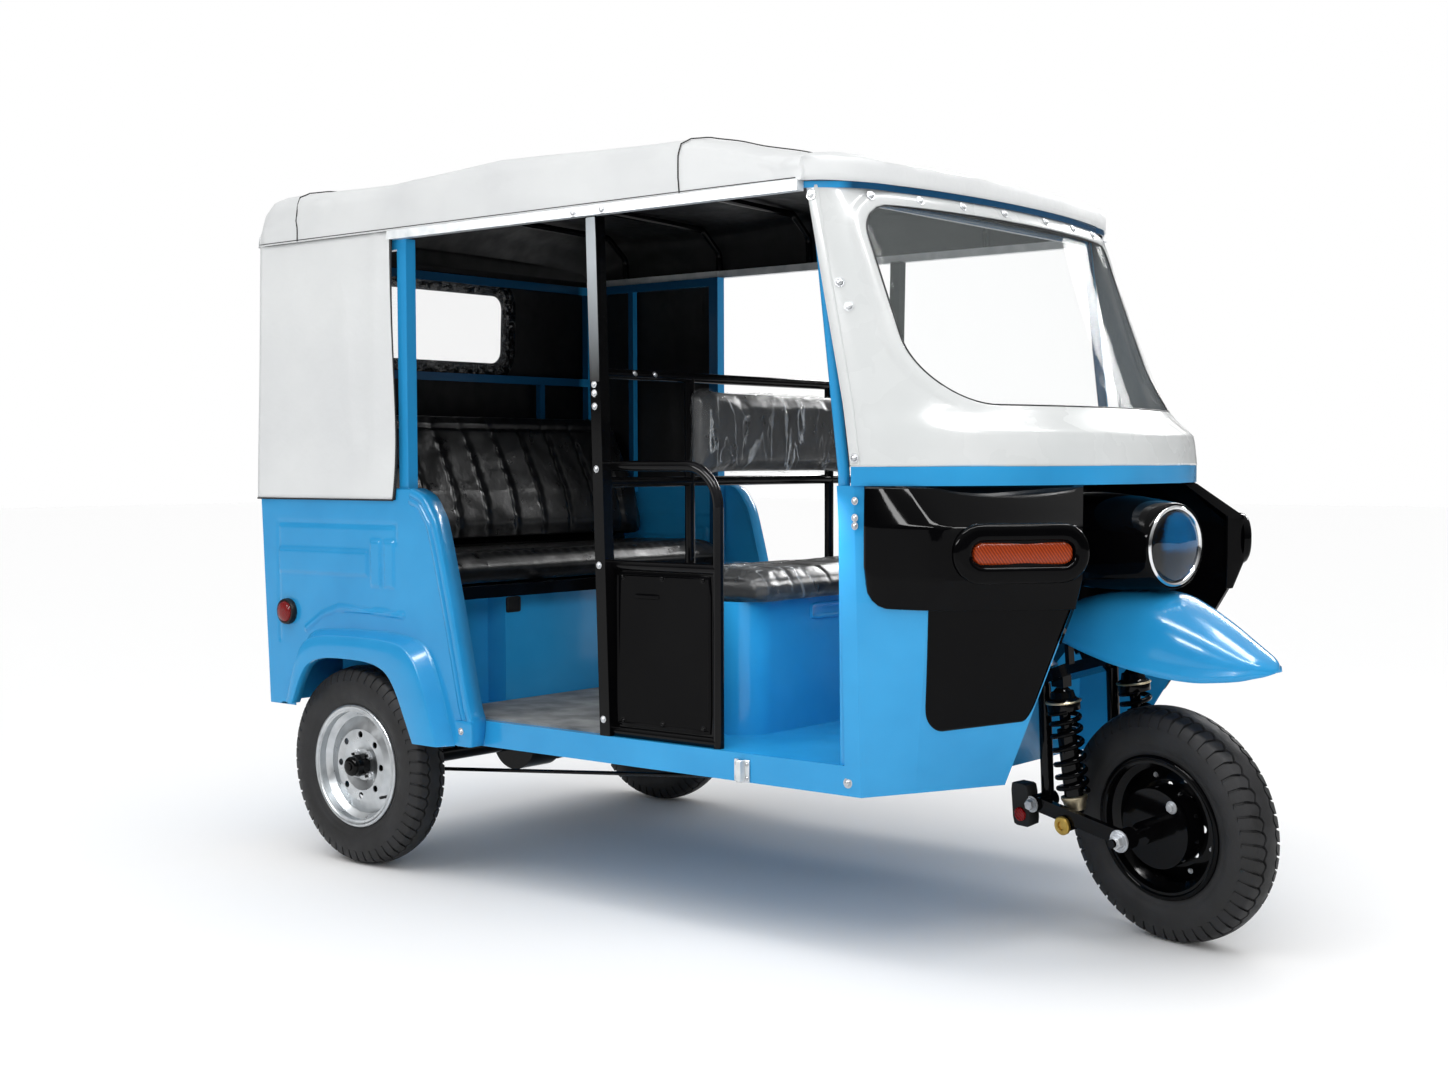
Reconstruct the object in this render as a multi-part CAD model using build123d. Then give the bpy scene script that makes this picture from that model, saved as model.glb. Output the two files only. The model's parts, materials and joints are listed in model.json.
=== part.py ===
"""Auto rickshaw: a three-wheeled passenger cab with a steered front wheel, a soft canopy and an open cabin.

Millimetres. +X points forward, +Y to the vehicle's left, +Z up. The origin is on the ground, at the middle of the
whole vehicle's box. The vehicle is parked with its front wheel turned a little to the right.
"""
from build123d import *
from math import asin, cos, radians, sin, tan
import os

os.makedirs("parts", exist_ok=True)

# ---------------------------------------------------------------- driving dimensions
WHEELBASE = 2071
REAR_AXLE_X = -953.6            # rear axle, from the middle of the vehicle's box
FRONT_AXLE_X = REAR_AXLE_X + WHEELBASE
TRACK = 1216

TYRE_RADIUS = 270
TYRE_WIDTH = 112
CROWN_RADIUS = 90             # the tread's arc, side to side
RIM_SEAT_RADIUS = 152
RIM_FLANGE_RADIUS = 163
RIM_WIDTH = 96
RIM_WALL = 4
WHEEL_FIT = 0.05              # running clearance of a hub on its spindle
SEAT_GAP = 0.3                # between a piece and the curved or soft piece that it is seated on
MOVE_GAP = 6                  # between pieces that move past each other

STEEL = 3                     # sheet of panels and pans
FIBREGLASS = 4
FABRIC = 5                    # canopy and curtains with their lining

RAKE = 24                     # the steering axis leans back by this many degrees
STEER_AT_REST = -15           # parked turned to the right
AXLE_LEAD = 57                # from the steering axis forward to the axle, at the axle's height

SILL_BOTTOM_Z = 365
FLOOR_Z = 430
BODY_HALF_WIDTH = 665         # outside of the rear side panels and curtains' frame
SILL_HALF_WIDTH = BODY_HALF_WIDTH - 45
RAIL_HALF_WIDTH = BODY_HALF_WIDTH + 10
NOSE_HALF = BODY_HALF_WIDTH - 25
NOSE_DRAWN_HALF = 640         # the half width that the nose's tables are drawn for
SIDE_WALL = 12
RAIL_TOP_Z = 1690
RAIL_HEIGHT = 22
RAIL_WIDTH = 24
ROOF_CROWN_Z = 1863
PANEL_TOP_Z = 1022            # top edge of the rear side panels

BODY_REAR_X = REAR_AXLE_X - 385
REAR_LEAN = 30                # the rear wall's foot stands this far ahead of its top
C_PILLAR_X = REAR_AXLE_X + 208
B_PILLAR_X = REAR_AXLE_X + 890
A_PILLAR_X = REAR_AXLE_X + 1625
HEADER_X = REAR_AXLE_X + 1506
SILL_REAR_X = REAR_AXLE_X + 400

TUBE = 25                     # square and round tube of guards, beams and bows
PILLAR = 32


# ---------------------------------------------------------------- helpers
def block(x0, x1, y0, y1, z0, z1):
    """A box between two corners."""
    return Pos((x0 + x1) / 2, (y0 + y1) / 2, (z0 + z1) / 2) * Box(abs(x1 - x0), abs(y1 - y0), abs(z1 - z0))


def rod(start, end, radius):
    """A round bar from one point to another."""
    line = Line(start, end)
    return sweep(Plane(line @ 0, z_dir=line % 0) * Circle(radius), path=line)


def bar(start, end, width, depth, across=(0, 1, 0)):
    """A rectangular bar from one point to another, its width along `across`."""
    direction = Vector(*end) - Vector(*start)
    return extrude(Plane(origin=start, x_dir=across, z_dir=direction) * Rectangle(width, depth), direction.length)


def bent_tube(points, radius, bend):
    """A round tube along straight runs joined by arcs."""
    path = FilletPolyline(*points, radius=bend)
    return sweep(Plane(path @ 0, z_dir=path % 0) * Circle(radius), path=path)


def both_sides(shape):
    """A solid and its mirror image across the vehicle's middle plane."""
    return [shape, mirror(shape, about=Plane.XZ)]


def sheet_outline(points, side_y, thickness):
    """A flat side sheet from (x, z) points, its outer face at side_y, on the vehicle's right."""
    face = make_face(Polyline(*[(x, -side_y, z) for x, z in points], close=True))
    return extrude(face, thickness, dir=(0, 1, 0))


def save(name, *shapes):
    """Writes one sub-part as parts/NAME.step."""
    solids = [solid for shape in shapes for solid in shape.solids()]
    if len(solids) == 1:
        result = solids[0]
    else:
        result = Compound(children=solids)
    result.label = name
    export_step(result, f"parts/{name}.step")


# ---------------------------------------------------------------- steering frame
AXIS_DIRECTION = Vector(-sin(radians(RAKE)), 0, cos(radians(RAKE)))
_turn = Axis((0, 0, 0), AXIS_DIRECTION)
_axle_turned = Vector(0, 1, 0).rotate(_turn, STEER_AT_REST)
_lead_turned = Vector(AXLE_LEAD, 0, 0).rotate(_turn, STEER_AT_REST)
WHEEL_LEAN = asin(abs(_axle_turned.Z))
FRONT_AXLE_Z = (TYRE_RADIUS - CROWN_RADIUS) * cos(WHEEL_LEAN) + CROWN_RADIUS - _lead_turned.Z
AXIS_FOOT = Vector(FRONT_AXLE_X - AXLE_LEAD, 0, FRONT_AXLE_Z)
STEERING_AXIS = Axis(AXIS_FOOT, AXIS_DIRECTION)


def axis_x(z):
    """Where the steering axis is at a height, with x from the front."""
    return AXIS_FOOT.X - (z - AXIS_FOOT.Z) * tan(radians(RAKE))


def turned(shape):
    """A piece drawn straight ahead, turned with the steering to its parked place."""
    return shape.rotate(STEERING_AXIS, STEER_AT_REST)


def across_axis(z):
    """The plane square to the steering axis where it passes a height."""
    return Plane(origin=(axis_x(z), 0, z), x_dir=(cos(radians(RAKE)), 0, sin(radians(RAKE))), z_dir=AXIS_DIRECTION)


# ---------------------------------------------------------------- wheels
def wheel_ring(face):
    """A ring about the Y axis from a face drawn with x as the radius and y along the axle."""
    return revolve(face, axis=Axis.Y, revolution_arc=360)


def tyre():
    """One tyre out to its lugs' tips, hollow as the real one, about the Y axis."""
    bead = RIM_SEAT_RADIUS + SEAT_GAP
    flange = RIM_FLANGE_RADIUS + 3
    half = TYRE_WIDTH / 2
    bead_half = RIM_WIDTH / 2 - RIM_WALL - SEAT_GAP
    shoulder_half = half - 14
    shoulder = TYRE_RADIUS - CROWN_RADIUS + (CROWN_RADIUS ** 2 - shoulder_half ** 2) ** 0.5
    bulge = (flange + shoulder) / 2 - 8
    wall = 11
    outer = [
        Line((bead, -bead_half), (flange, -bead_half)),
        ThreePointArc((flange, -bead_half), (bulge, -half), (shoulder, -shoulder_half)),
        ThreePointArc((shoulder, -shoulder_half), (TYRE_RADIUS, 0), (shoulder, shoulder_half)),
        ThreePointArc((shoulder, shoulder_half), (bulge, half), (flange, bead_half)),
        Line((flange, bead_half), (bead, bead_half)),
    ]
    inner = [
        Line((bead, bead_half), (bead, bead_half - wall)),
        Line((bead, bead_half - wall), (flange, bead_half - wall)),
        ThreePointArc((flange, bead_half - wall), (bulge, half - wall), (shoulder - wall, shoulder_half - wall)),
        ThreePointArc((shoulder - wall, shoulder_half - wall), (TYRE_RADIUS - 1.4 * wall, 0),
                      (shoulder - wall, wall - shoulder_half)),
        ThreePointArc((shoulder - wall, wall - shoulder_half), (bulge, wall - half), (flange, wall - bead_half)),
        Line((flange, wall - bead_half), (bead, wall - bead_half)),
        Line((bead, wall - bead_half), (bead, -bead_half)),
    ]
    return wheel_ring(make_face(Wire(outer + inner)))


def rim(disc_y, hub_radius, holes):
    """A pressed steel rim: flanged barrel with a dropped middle, and a ribbed disc with openings at disc_y."""
    half = RIM_WIDTH / 2
    seat = RIM_SEAT_RADIUS
    well = seat - 16
    wall = RIM_WALL
    side = [(RIM_FLANGE_RADIUS, half), (RIM_FLANGE_RADIUS, half - wall), (seat, half - wall), (seat, half - 18),
            (well, half - 30)]
    back = [(well - wall, half - 30 - wall / 2), (seat - wall, half - 18 - wall / 2), (seat - wall, half)]
    barrel = make_face(Polyline(*side, *[(r, -y) for r, y in reversed(side)], *[(r, -y) for r, y in reversed(back)],
                                *back, close=True))
    ridge = (hub_radius + well) / 2
    disc = make_face(Polyline((hub_radius, disc_y), (hub_radius + 14, disc_y), (ridge - 12, disc_y + 9),
                              (ridge + 12, disc_y + 9), (well - 2, disc_y - 4), (well - 2, disc_y - 4 + wall),
                              (ridge + 14, disc_y + 9 + wall), (ridge - 14, disc_y + 9 + wall),
                              (hub_radius + 12, disc_y + wall), (hub_radius, disc_y + wall), close=True))
    body = wheel_ring(barrel + disc)
    for index in range(holes):
        body -= Rot(0, index * 360 / holes, 0) * Pos(ridge, disc_y, 0) * Rot(90, 0, 0) * Cylinder(9, 60)
    return body


HUB_FLANGE = 52               # radius of the hub face that the disc is bolted to
SPINDLE_RADIUS = 17
STUD_CIRCLE = 36
STUD_COUNT = 4
DRUM_RADIUS = 92
DISC_SET = 14                 # the disc stands this far outside the wheel's middle plane


def rear_hub():
    """Hub with drum, studs and cap, drawn about Y with its outer side towards +Y and the wheel's middle at 0."""
    inner_end = DISC_SET - SEAT_GAP
    drum = wheel_ring(make_face(Polyline((SPINDLE_RADIUS + WHEEL_FIT, inner_end), (HUB_FLANGE, inner_end),
                                         (HUB_FLANGE, inner_end - 6), (DRUM_RADIUS, inner_end - 10),
                                         (DRUM_RADIUS, inner_end - 58), (DRUM_RADIUS - 6, inner_end - 58),
                                         (DRUM_RADIUS - 6, inner_end - 18), (40, inner_end - 18),
                                         (34, inner_end - 50), (SPINDLE_RADIUS + WHEEL_FIT, inner_end - 50),
                                         close=True)))
    nose = wheel_ring(make_face(Polyline((SPINDLE_RADIUS + WHEEL_FIT, inner_end), (HUB_FLANGE - 22, inner_end),
                                         (HUB_FLANGE - 22, DISC_SET + 26), (HUB_FLANGE - 28, DISC_SET + 40),
                                         (0, DISC_SET + 40), (0, DISC_SET + 34), (SPINDLE_RADIUS + WHEEL_FIT,
                                         DISC_SET + 34), close=True)))
    body = drum + nose
    for index in range(STUD_COUNT):
        stud = Pos(STUD_CIRCLE + 3, DISC_SET + 8, 0) * Rot(90, 0, 0) * Cylinder(4, 24)
        body += Rot(0, 45 + index * 360 / STUD_COUNT, 0) * stud
    return body


def rear_wheel(side, name):
    """Tyre, rim and hub of a rear wheel; side is +1 on the left and -1 on the right."""
    place = Pos(REAR_AXLE_X, side * TRACK / 2, TYRE_RADIUS)
    flip = Rot(0, 0, 0 if side > 0 else 180)
    disc = rim(DISC_SET, HUB_FLANGE - 22 + SEAT_GAP, 8)
    for index in range(STUD_COUNT):
        hole = Pos(STUD_CIRCLE + 3, DISC_SET, 0) * Rot(90, 0, 0) * Cylinder(4 + SEAT_GAP, 40)
        disc -= Rot(0, 45 + index * 360 / STUD_COUNT, 0) * hole
    save(f"{name}_tyre", place * tyre())
    save(f"{name}_rim", place * flip * disc)
    save(f"{name}_hub", place * flip * rear_hub())


FRONT_AXLE_RADIUS = 10
FRONT_DISC_SET = -12          # towards the left, so that the drum fits on the right


def front_wheel():
    """Front tyre, rim and hub in their parked place; the brake plate on the right belongs to the fork."""
    place = Pos(FRONT_AXLE_X, 0, FRONT_AXLE_Z)
    hub_radius = 34
    hub = wheel_ring(make_face(Polyline((FRONT_AXLE_RADIUS + WHEEL_FIT, 44), (24, 44), (hub_radius, 12 - SEAT_GAP),
                                        (HUB_FLANGE - 3, 12 - SEAT_GAP), (HUB_FLANGE - 3, 4), (DRUM_RADIUS, 0),
                                        (DRUM_RADIUS, -44), (DRUM_RADIUS - 6, -44), (DRUM_RADIUS - 6, -6),
                                        (hub_radius, -2), (24, -44), (FRONT_AXLE_RADIUS + WHEEL_FIT, -44),
                                        close=True)))
    disc = Rot(0, 0, 180) * rim(FRONT_DISC_SET - RIM_WALL, HUB_FLANGE - 14, 8)
    save("front_wheel_tyre", turned(place * tyre()))
    save("front_wheel_rim", turned(place * disc))
    save("front_wheel_hub", turned(place * hub))


# ---------------------------------------------------------------- fork and steering
SHOCK_SIDE = 122              # of each shock absorber, from the wheel's middle plane
SHOCK_BACK = 172              # shock's lower eye behind the axle
SHOCK_TOP_BACK = 195
SHOCK_TOP_Z = 585
LEG_BACK = 262                # link pivot behind the axle
LEG_RADIUS = 15
PIVOT_RISE = 40               # link pivot above the axle
YOKE_Z = 612
YOKE_THICK = 26
STEM_RADIUS = 17
HEAD_TUBE_RADIUS = 27
HEAD_BOTTOM_Z = 645
HEAD_TOP_Z = 800
UPPER_YOKE_Z = 822
HANDLEBAR_Z = 1105
SPRING_RADIUS = 38
SPRING_WIRE = 5
SPRING_COILS = 8              # drawn as closed rings round the damper
BRAKE_PLATE_Y = -50


def fork():
    """Legs, links, axle and brake plate."""
    x = FRONT_AXLE_X
    z = FRONT_AXLE_Z
    pieces = rod((x, -205, z), (x, 176, z), FRONT_AXLE_RADIUS)
    plate = Pos(x, BRAKE_PLATE_Y - 4, z) * Rot(90, 0, 0) * Cylinder(DRUM_RADIUS, 8)
    boss = Pos(x, BRAKE_PLATE_Y - 30, z) * Rot(90, 0, 0) * Cylinder(26, 50)
    pieces += plate + boss
    for side in (-1, 1):
        link_y = side * 158
        pieces += rod((x, side * 140, z), (x, side * 176, z), 24)
        pieces += bar((x, link_y, z), (x - LEG_BACK, link_y, z + PIVOT_RISE), 14, 34)
        pieces += rod((x - LEG_BACK, side * 100, z + PIVOT_RISE), (x - LEG_BACK, side * 172, z + PIVOT_RISE), 19)
        pieces += rod((x - SHOCK_BACK, side * SHOCK_SIDE, z + 4), (x - SHOCK_BACK, side * 168, z + 4), 17)
        top = Vector(axis_x(YOKE_Z) - 42, side * 118, YOKE_Z - 4)
        pieces += rod((x - LEG_BACK, side * 118, z + PIVOT_RISE), tuple(top), LEG_RADIUS)
        pieces += block(x - SHOCK_TOP_BACK - 18, x - SHOCK_TOP_BACK + 18, side * SHOCK_SIDE - 14,
                        side * SHOCK_SIDE + 14, SHOCK_TOP_Z + 1.4, YOKE_Z + 4)
        pieces += block(x - 178, x - 166, side * 106, side * 124, 636, mudguard_edge(-166) - SEAT_GAP)
    yoke = across_axis(YOKE_Z) * Pos(-8, 0) * RectangleRounded(118, 320, 30)
    return pieces + extrude(yoke, YOKE_THICK / 2, both=True)


def steering_stem():
    """Stem through the head tube, upper yoke, handlebar with grips."""
    low = across_axis(YOKE_Z)
    stem_length = (HANDLEBAR_Z - YOKE_Z) / cos(radians(RAKE))
    stem = extrude(low * Pos(0, 0, YOKE_THICK / 2) * Circle(STEM_RADIUS), stem_length)
    upper = extrude(across_axis(UPPER_YOKE_Z) * Rectangle(70, 150), 14)
    top_x = axis_x(HANDLEBAR_Z)
    rise = HANDLEBAR_Z + 6
    bars = []
    for side in (-1, 1):
        bars.append(bent_tube([(top_x, 0, rise), (top_x, side * 190, rise), (top_x - 60, side * 250, rise + 40),
                               (top_x - 90, side * 385, rise + 40)], 11, 35))
    clamp = Pos(top_x, 0, rise - 4) * Box(54, 110, 50)
    x_lamp = axis_x(LAMP_Z)
    carrier = block(x_lamp, x_lamp + NACELLE_START - SEAT_GAP, -45, 45, LAMP_Z - 25, LAMP_Z + 25)
    return stem + upper + bars[0] + bars[1] + clamp + carrier


def shocks():
    """Shock absorbers with outer springs, each one closed form."""
    shapes = []
    for side in (-1, 1):
        low = Vector(FRONT_AXLE_X - SHOCK_BACK, side * SHOCK_SIDE, FRONT_AXLE_Z + 4)
        high = Vector(FRONT_AXLE_X - SHOCK_TOP_BACK, side * SHOCK_SIDE, SHOCK_TOP_Z)
        along = (high - low).normalized()
        length = (high - low).length
        steps = [(20, 24), (24, 62), (SPRING_RADIUS - 2 * SPRING_WIRE + 1, length - 46),
                 (SPRING_RADIUS + 3, length - 34), (16, length)]
        start = 17 + SEAT_GAP
        shape = None
        for radius, end in steps:
            piece = rod(tuple(low + along * start), tuple(low + along * end), radius)
            shape = piece if shape is None else shape + piece
            start = end
        pitch = (length - 46 - 62) / SPRING_COILS
        for coil in range(SPRING_COILS):
            centre = low + along * (62 + pitch * (coil + 0.5))
            shape += Plane(origin=tuple(centre), z_dir=tuple(along)) * Torus(SPRING_RADIUS - SPRING_WIRE, SPRING_WIRE)
        shapes.append(shape)
    return shapes


MUDGUARD_TIP = 300            # ahead of the axle
MUDGUARD_REAR = -190
MUDGUARD_TOP_Z = 800
MUDGUARD_TIP_Z = 645
MUDGUARD_HALF = 118
# from the axle: x forward, half width, height of the edge, height of the crown
MUDGUARD_STATIONS = [
    (MUDGUARD_REAR, MUDGUARD_HALF, 690, MUDGUARD_TOP_Z - 20), (-90, MUDGUARD_HALF + 4, 664, MUDGUARD_TOP_Z),
    (40, MUDGUARD_HALF, 640, MUDGUARD_TOP_Z - 4), (160, 96, 628, 742), (250, 62, 634, 690),
    (MUDGUARD_TIP, 26, MUDGUARD_TIP_Z, MUDGUARD_TIP_Z + 15)]


def mudguard_edge(x):
    """Height of the guard's lower edge behind its second station."""
    (xa, _, a, _), (xb, _, b, _) = MUDGUARD_STATIONS[:2]
    return a + (b - a) * (x - xa) / (xb - xa)


def mudguard():
    """A pointed fibreglass guard, highest over the tyre and falling to its tip."""
    stations = MUDGUARD_STATIONS

    def section(x, half, edge, crown, inset):
        half, crown = half - inset, crown - inset
        low = edge - (1 if inset else 0)
        shoulder = (edge + 2 * crown) / 3
        return Plane(origin=(FRONT_AXLE_X + x, 0, 0), x_dir=(0, 1, 0), z_dir=(1, 0, 0)) * make_face([
            Line((-half, low), (half, low)),
            ThreePointArc((half, low), (half * 0.78, shoulder), (0, crown)),
            ThreePointArc((0, crown), (-half * 0.78, shoulder), (-half, low))])

    outer = loft([section(*row, 0) for row in stations], ruled=True)
    inner_rows = [(MUDGUARD_REAR - 1, *stations[0][1:])] + stations[1:-1] + [(MUDGUARD_TIP - 8, 24, MUDGUARD_TIP_Z, MUDGUARD_TIP_Z + 11)]
    inner = loft([section(*row, FIBREGLASS) for row in inner_rows], ruled=True)
    return outer - inner


LAMP_Z = 905
LAMP_REACH = 414              # of the lamp's face ahead of the steering axis
LAMP_RADIUS = 84
NACELLE_HALF = 122
NACELLE_START = 95            # of its rear wall ahead of the steering axis


def nacelle():
    """The headlamp's shell: rounded rectangle at the stem, round at the lamp."""
    x_axis = axis_x(LAMP_Z)

    def section(reach, half, low, high, inset, corner):
        plane = Plane(origin=(x_axis + reach, 0, (low + high) / 2), x_dir=(0, 1, 0), z_dir=(1, 0, 0))
        return plane * RectangleRounded(2 * (half - inset), high - low - 2 * inset, corner - inset)

    # reach ahead of the axis, half width, bottom, top, corner radius
    rows = [(NACELLE_START, NACELLE_HALF - 8, 838, 1010, 60), (170, NACELLE_HALF, 806, 1012, 70),
            (300, LAMP_RADIUS + 24, 806, 1006, 84), (LAMP_REACH - 20, LAMP_RADIUS + 9, 812, 998, 92)]
    outer = loft([section(r, h, lo, hi, 0, c) for r, h, lo, hi, c in rows], ruled=True)
    inner = loft([section(r + (FIBREGLASS if i == 0 else (1 if i == 3 else 0)), h, lo, hi, FIBREGLASS, c)
                  for i, (r, h, lo, hi, c) in enumerate(rows)], ruled=True)
    return outer - inner


def headlamp():
    """Chrome ring, bowl and lens as one closed lamp."""
    x_face = axis_x(LAMP_Z) + LAMP_REACH - 20 + SEAT_GAP
    profile = make_face(Polyline((0, -60), (40, -55), (LAMP_RADIUS - 6, -4), (LAMP_RADIUS - 6, 0), (LAMP_RADIUS + 7, 0),
                                 (LAMP_RADIUS + 3, 20), (LAMP_RADIUS - 10, 22), (0, 30), close=True))
    lamp = revolve(profile, axis=Axis.Y, revolution_arc=360)
    return Pos(x_face, 0, LAMP_Z) * Rot(0, 0, -90) * lamp


# ---------------------------------------------------------------- chassis
RAIL_Y = 300
RAIL_TUBE = 40
UNDERFLOOR_Z = FLOOR_Z - STEEL
COWL_REAR = -28                # rear edge of the front cowl's side skins, ahead of the front pillars


def neck(margin):
    """The bar from the front cross member to the head tube; a margin makes the slot that it passes through."""
    foot = (A_PILLAR_X - 70, 0, UNDERFLOOR_Z - 20)
    return bar(foot, (axis_x(HEAD_BOTTOM_Z + 70), 0, HEAD_BOTTOM_Z + 70), 60 + 2 * margin, 40 + 2 * margin)


BRAKE_ROD_Y = -(TRACK - TYRE_WIDTH) / 2 + 52
BRAKE_ROD_REAR = (REAR_AXLE_X + 59, 250)
BRAKE_ROD_FRONT_X = REAR_AXLE_X + 1238
BRAKE_ROD_FRONT_Z = 352


def chassis():
    """Two rails, cross members, outriggers, the front down tube and the head tube."""
    top = UNDERFLOOR_Z
    low = top - 58
    rear = BODY_REAR_X + REAR_LEAN + SIDE_WALL + 5
    front = A_PILLAR_X - 40
    body = None
    for side in (-1, 1):
        rail = block(rear, front, side * RAIL_Y - RAIL_TUBE / 2, side * RAIL_Y + RAIL_TUBE / 2, low, top)
        body = rail if body is None else body + rail
    for x in (rear + 20, REAR_AXLE_X + 300, B_PILLAR_X, REAR_AXLE_X + 1250, front - 20):
        body += block(x - 20, x + 20, -RAIL_Y, RAIL_Y, top - 40, top)
    for x in (SILL_REAR_X + 60, B_PILLAR_X, REAR_AXLE_X + 1250, front - 20):
        body += block(x - 15, x + 15, -SILL_HALF_WIDTH + STEEL, SILL_HALF_WIDTH - STEEL, top - 30, top)
    head_low = across_axis(HEAD_BOTTOM_Z)
    head_length = (HEAD_TOP_Z - HEAD_BOTTOM_Z) / cos(radians(RAKE))
    head = extrude(head_low * Circle(HEAD_TUBE_RADIUS), head_length)
    body += neck(0) + head
    body += block(BRAKE_ROD_FRONT_X, BRAKE_ROD_FRONT_X + 24, BRAKE_ROD_Y - 8, BRAKE_ROD_Y + 8, BRAKE_ROD_FRONT_Z - 12,
                  top - 20)
    body -= extrude(head_low * Pos(0, 0, -5) * Circle(STEM_RADIUS + WHEEL_FIT), head_length + 10)
    return body


def rear_axle():
    """Axle tube with spindles and backing plates, differential and the motor's block."""
    z = TYRE_RADIUS
    spindle_end = TRACK / 2 + DISC_SET + 30
    body = rod((REAR_AXLE_X, -spindle_end, z), (REAR_AXLE_X, spindle_end, z), SPINDLE_RADIUS)
    plate_y = TRACK / 2 + DISC_SET - SEAT_GAP - 58 - MOVE_GAP
    body += rod((REAR_AXLE_X, -plate_y, z), (REAR_AXLE_X, plate_y, z), 29)
    for side in (-1, 1):
        body += rod((REAR_AXLE_X, side * (plate_y - 6), z), (REAR_AXLE_X, side * plate_y, z), DRUM_RADIUS)
    body += Pos(REAR_AXLE_X, 0, z) * Rot(90, 0, 0) * Cylinder(88, 120)
    body += rod((REAR_AXLE_X, 110, z), (REAR_AXLE_X, 320, z), 78)
    body += rod((REAR_AXLE_X, 40, z), (REAR_AXLE_X, 120, z), 60)
    lever_x, lever_z = BRAKE_ROD_REAR
    body += block(lever_x - 28, lever_x - 1, -plate_y, BRAKE_ROD_Y + 10, lever_z - 14, lever_z + 14)
    return body


SPRING_Y = 440
SPRING_SPAN = 340
SPRING_LEAF = 8


def leaf_spring(side):
    """Three leaves lying over the axle."""
    z_mid = TYRE_RADIUS + 29 + SEAT_GAP
    rise = 32
    body = None
    for leaf, reach in enumerate((SPRING_SPAN, SPRING_SPAN - 100, SPRING_SPAN - 210)):
        share = reach / SPRING_SPAN
        base = z_mid + (2 - leaf) * SPRING_LEAF
        lift = rise * share ** 2
        arc = ThreePointArc((-reach, base + lift), (0, base), (reach, base + lift))
        upper = ThreePointArc((reach, base + lift + SPRING_LEAF), (0, base + SPRING_LEAF),
                              (-reach, base + lift + SPRING_LEAF))
        face = make_face([arc, Line(arc @ 1, upper @ 0), upper, Line(upper @ 1, arc @ 0)])
        piece = Plane(origin=(REAR_AXLE_X, side * SPRING_Y, 0), x_dir=(1, 0, 0), z_dir=(0, -1, 0)) * face
        piece = extrude(piece, 30, both=True)
        body = piece if body is None else body + piece
    return body


def spring_hangers(side):
    """Brackets that join the rails to the springs' ends."""
    shapes = []
    eye_z = TYRE_RADIUS + 29 + SEAT_GAP + 3 * SPRING_LEAF + 32
    for end in (-1, 1):
        x = REAR_AXLE_X + end * (SPRING_SPAN - 20)
        shapes.append(block(x - 20, x + 20, side * SPRING_Y - 26, side * SPRING_Y + 26, eye_z, UNDERFLOOR_Z))
    return shapes


# ---------------------------------------------------------------- floor
def floor_pan():
    """Blue floor sheet with sills turned down at both sides and at the front."""
    rear = SILL_REAR_X
    front = A_PILLAR_X + COWL_REAR - SEAT_GAP
    half = SILL_HALF_WIDTH
    sheet = block(BODY_REAR_X + REAR_LEAN + SIDE_WALL + 5, front, -half + 90, half - 90, UNDERFLOOR_Z, FLOOR_Z)
    sheet += block(rear, front, -half, half, UNDERFLOOR_Z, FLOOR_Z)
    for reach, inside in ((10, 12), (45, 60)):
        sheet += block(front, A_PILLAR_X + reach, inside - half, half - inside, UNDERFLOOR_Z, FLOOR_Z)
    sheet -= neck(4)
    for side in (-1, 1):
        sheet += block(rear, front, side * half, side * (half - STEEL), SILL_BOTTOM_Z, FLOOR_Z)
        sheet += block(rear, front, side * half, side * (half - 30), SILL_BOTTOM_Z, SILL_BOTTOM_Z + STEEL)
    return sheet


# ---------------------------------------------------------------- bowed front shapes
def inset_line(points, wall):
    """A plan polyline moved inward (to its left as it is walked) by a wall, corners mitred."""
    moved = []
    for index, point in enumerate(points):
        here = Vector(*point)
        normals = []
        for a, b in ((index - 1, index), (index, index + 1)):
            if a >= 0 and b < len(points):
                run = (Vector(*points[b]) - Vector(*points[a])).normalized()
                normals.append(Vector(-run.Y, run.X))
        total = normals[0] if len(normals) == 1 else (normals[0] + normals[1]).normalized()
        moved.append(here + total * (wall / total.dot(normals[0])))
    return [(p.X, p.Y) for p in moved]


def ribbon(rows, wall):
    """A thin wall lofted through plan polylines; rows hold (height, [(x, y), ...])."""
    faces = []
    for height, points in rows:
        edge = points + list(reversed(inset_line(points, wall)))
        faces.append(make_face(Polyline(*[(x, y, height) for x, y in edge], close=True)))
    return loft(faces, ruled=True)


def bow_edges(rear_x, reach, half, height):
    """Four arcs of a bowed front, from the right rear end round to the left one."""
    def at(share, side):
        return (rear_x + reach * (1 - share ** 2) ** 0.5, side * half * share, height)

    return [ThreePointArc(at(1, -1), at(0.92, -1), at(0.72, -1)), ThreePointArc(at(0.72, -1), at(0.40, -1), at(0, 1)),
            ThreePointArc(at(0, 1), at(0.40, 1), at(0.72, 1)), ThreePointArc(at(0.72, 1), at(0.92, 1), at(1, 1))]


def bow_shell(rows, wall, outside=0):
    """A bowed wall lofted through rows of (height, rear x, reach, half width); outside moves its outer face out."""
    faces = []
    for height, rear_x, reach, half in rows:
        outer = bow_edges(rear_x, reach + outside, half + outside, height)
        inner = bow_edges(rear_x, reach + outside - wall, half + outside - wall, height)
        ends = [Line(outer[-1] @ 1, inner[-1] @ 1), Line(inner[0] @ 0, outer[0] @ 0)]
        faces.append(make_face(outer + inner + ends))
    return loft(faces, ruled=True)


def bow_plate(rear_x, reach, half, low, high):
    """A flat plate with a bowed front and a straight rear edge."""
    edges = bow_edges(rear_x, reach, half, low)
    return extrude(make_face(edges + [Line(edges[-1] @ 1, edges[0] @ 0)]), high - low, dir=(0, 0, 1))


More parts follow.
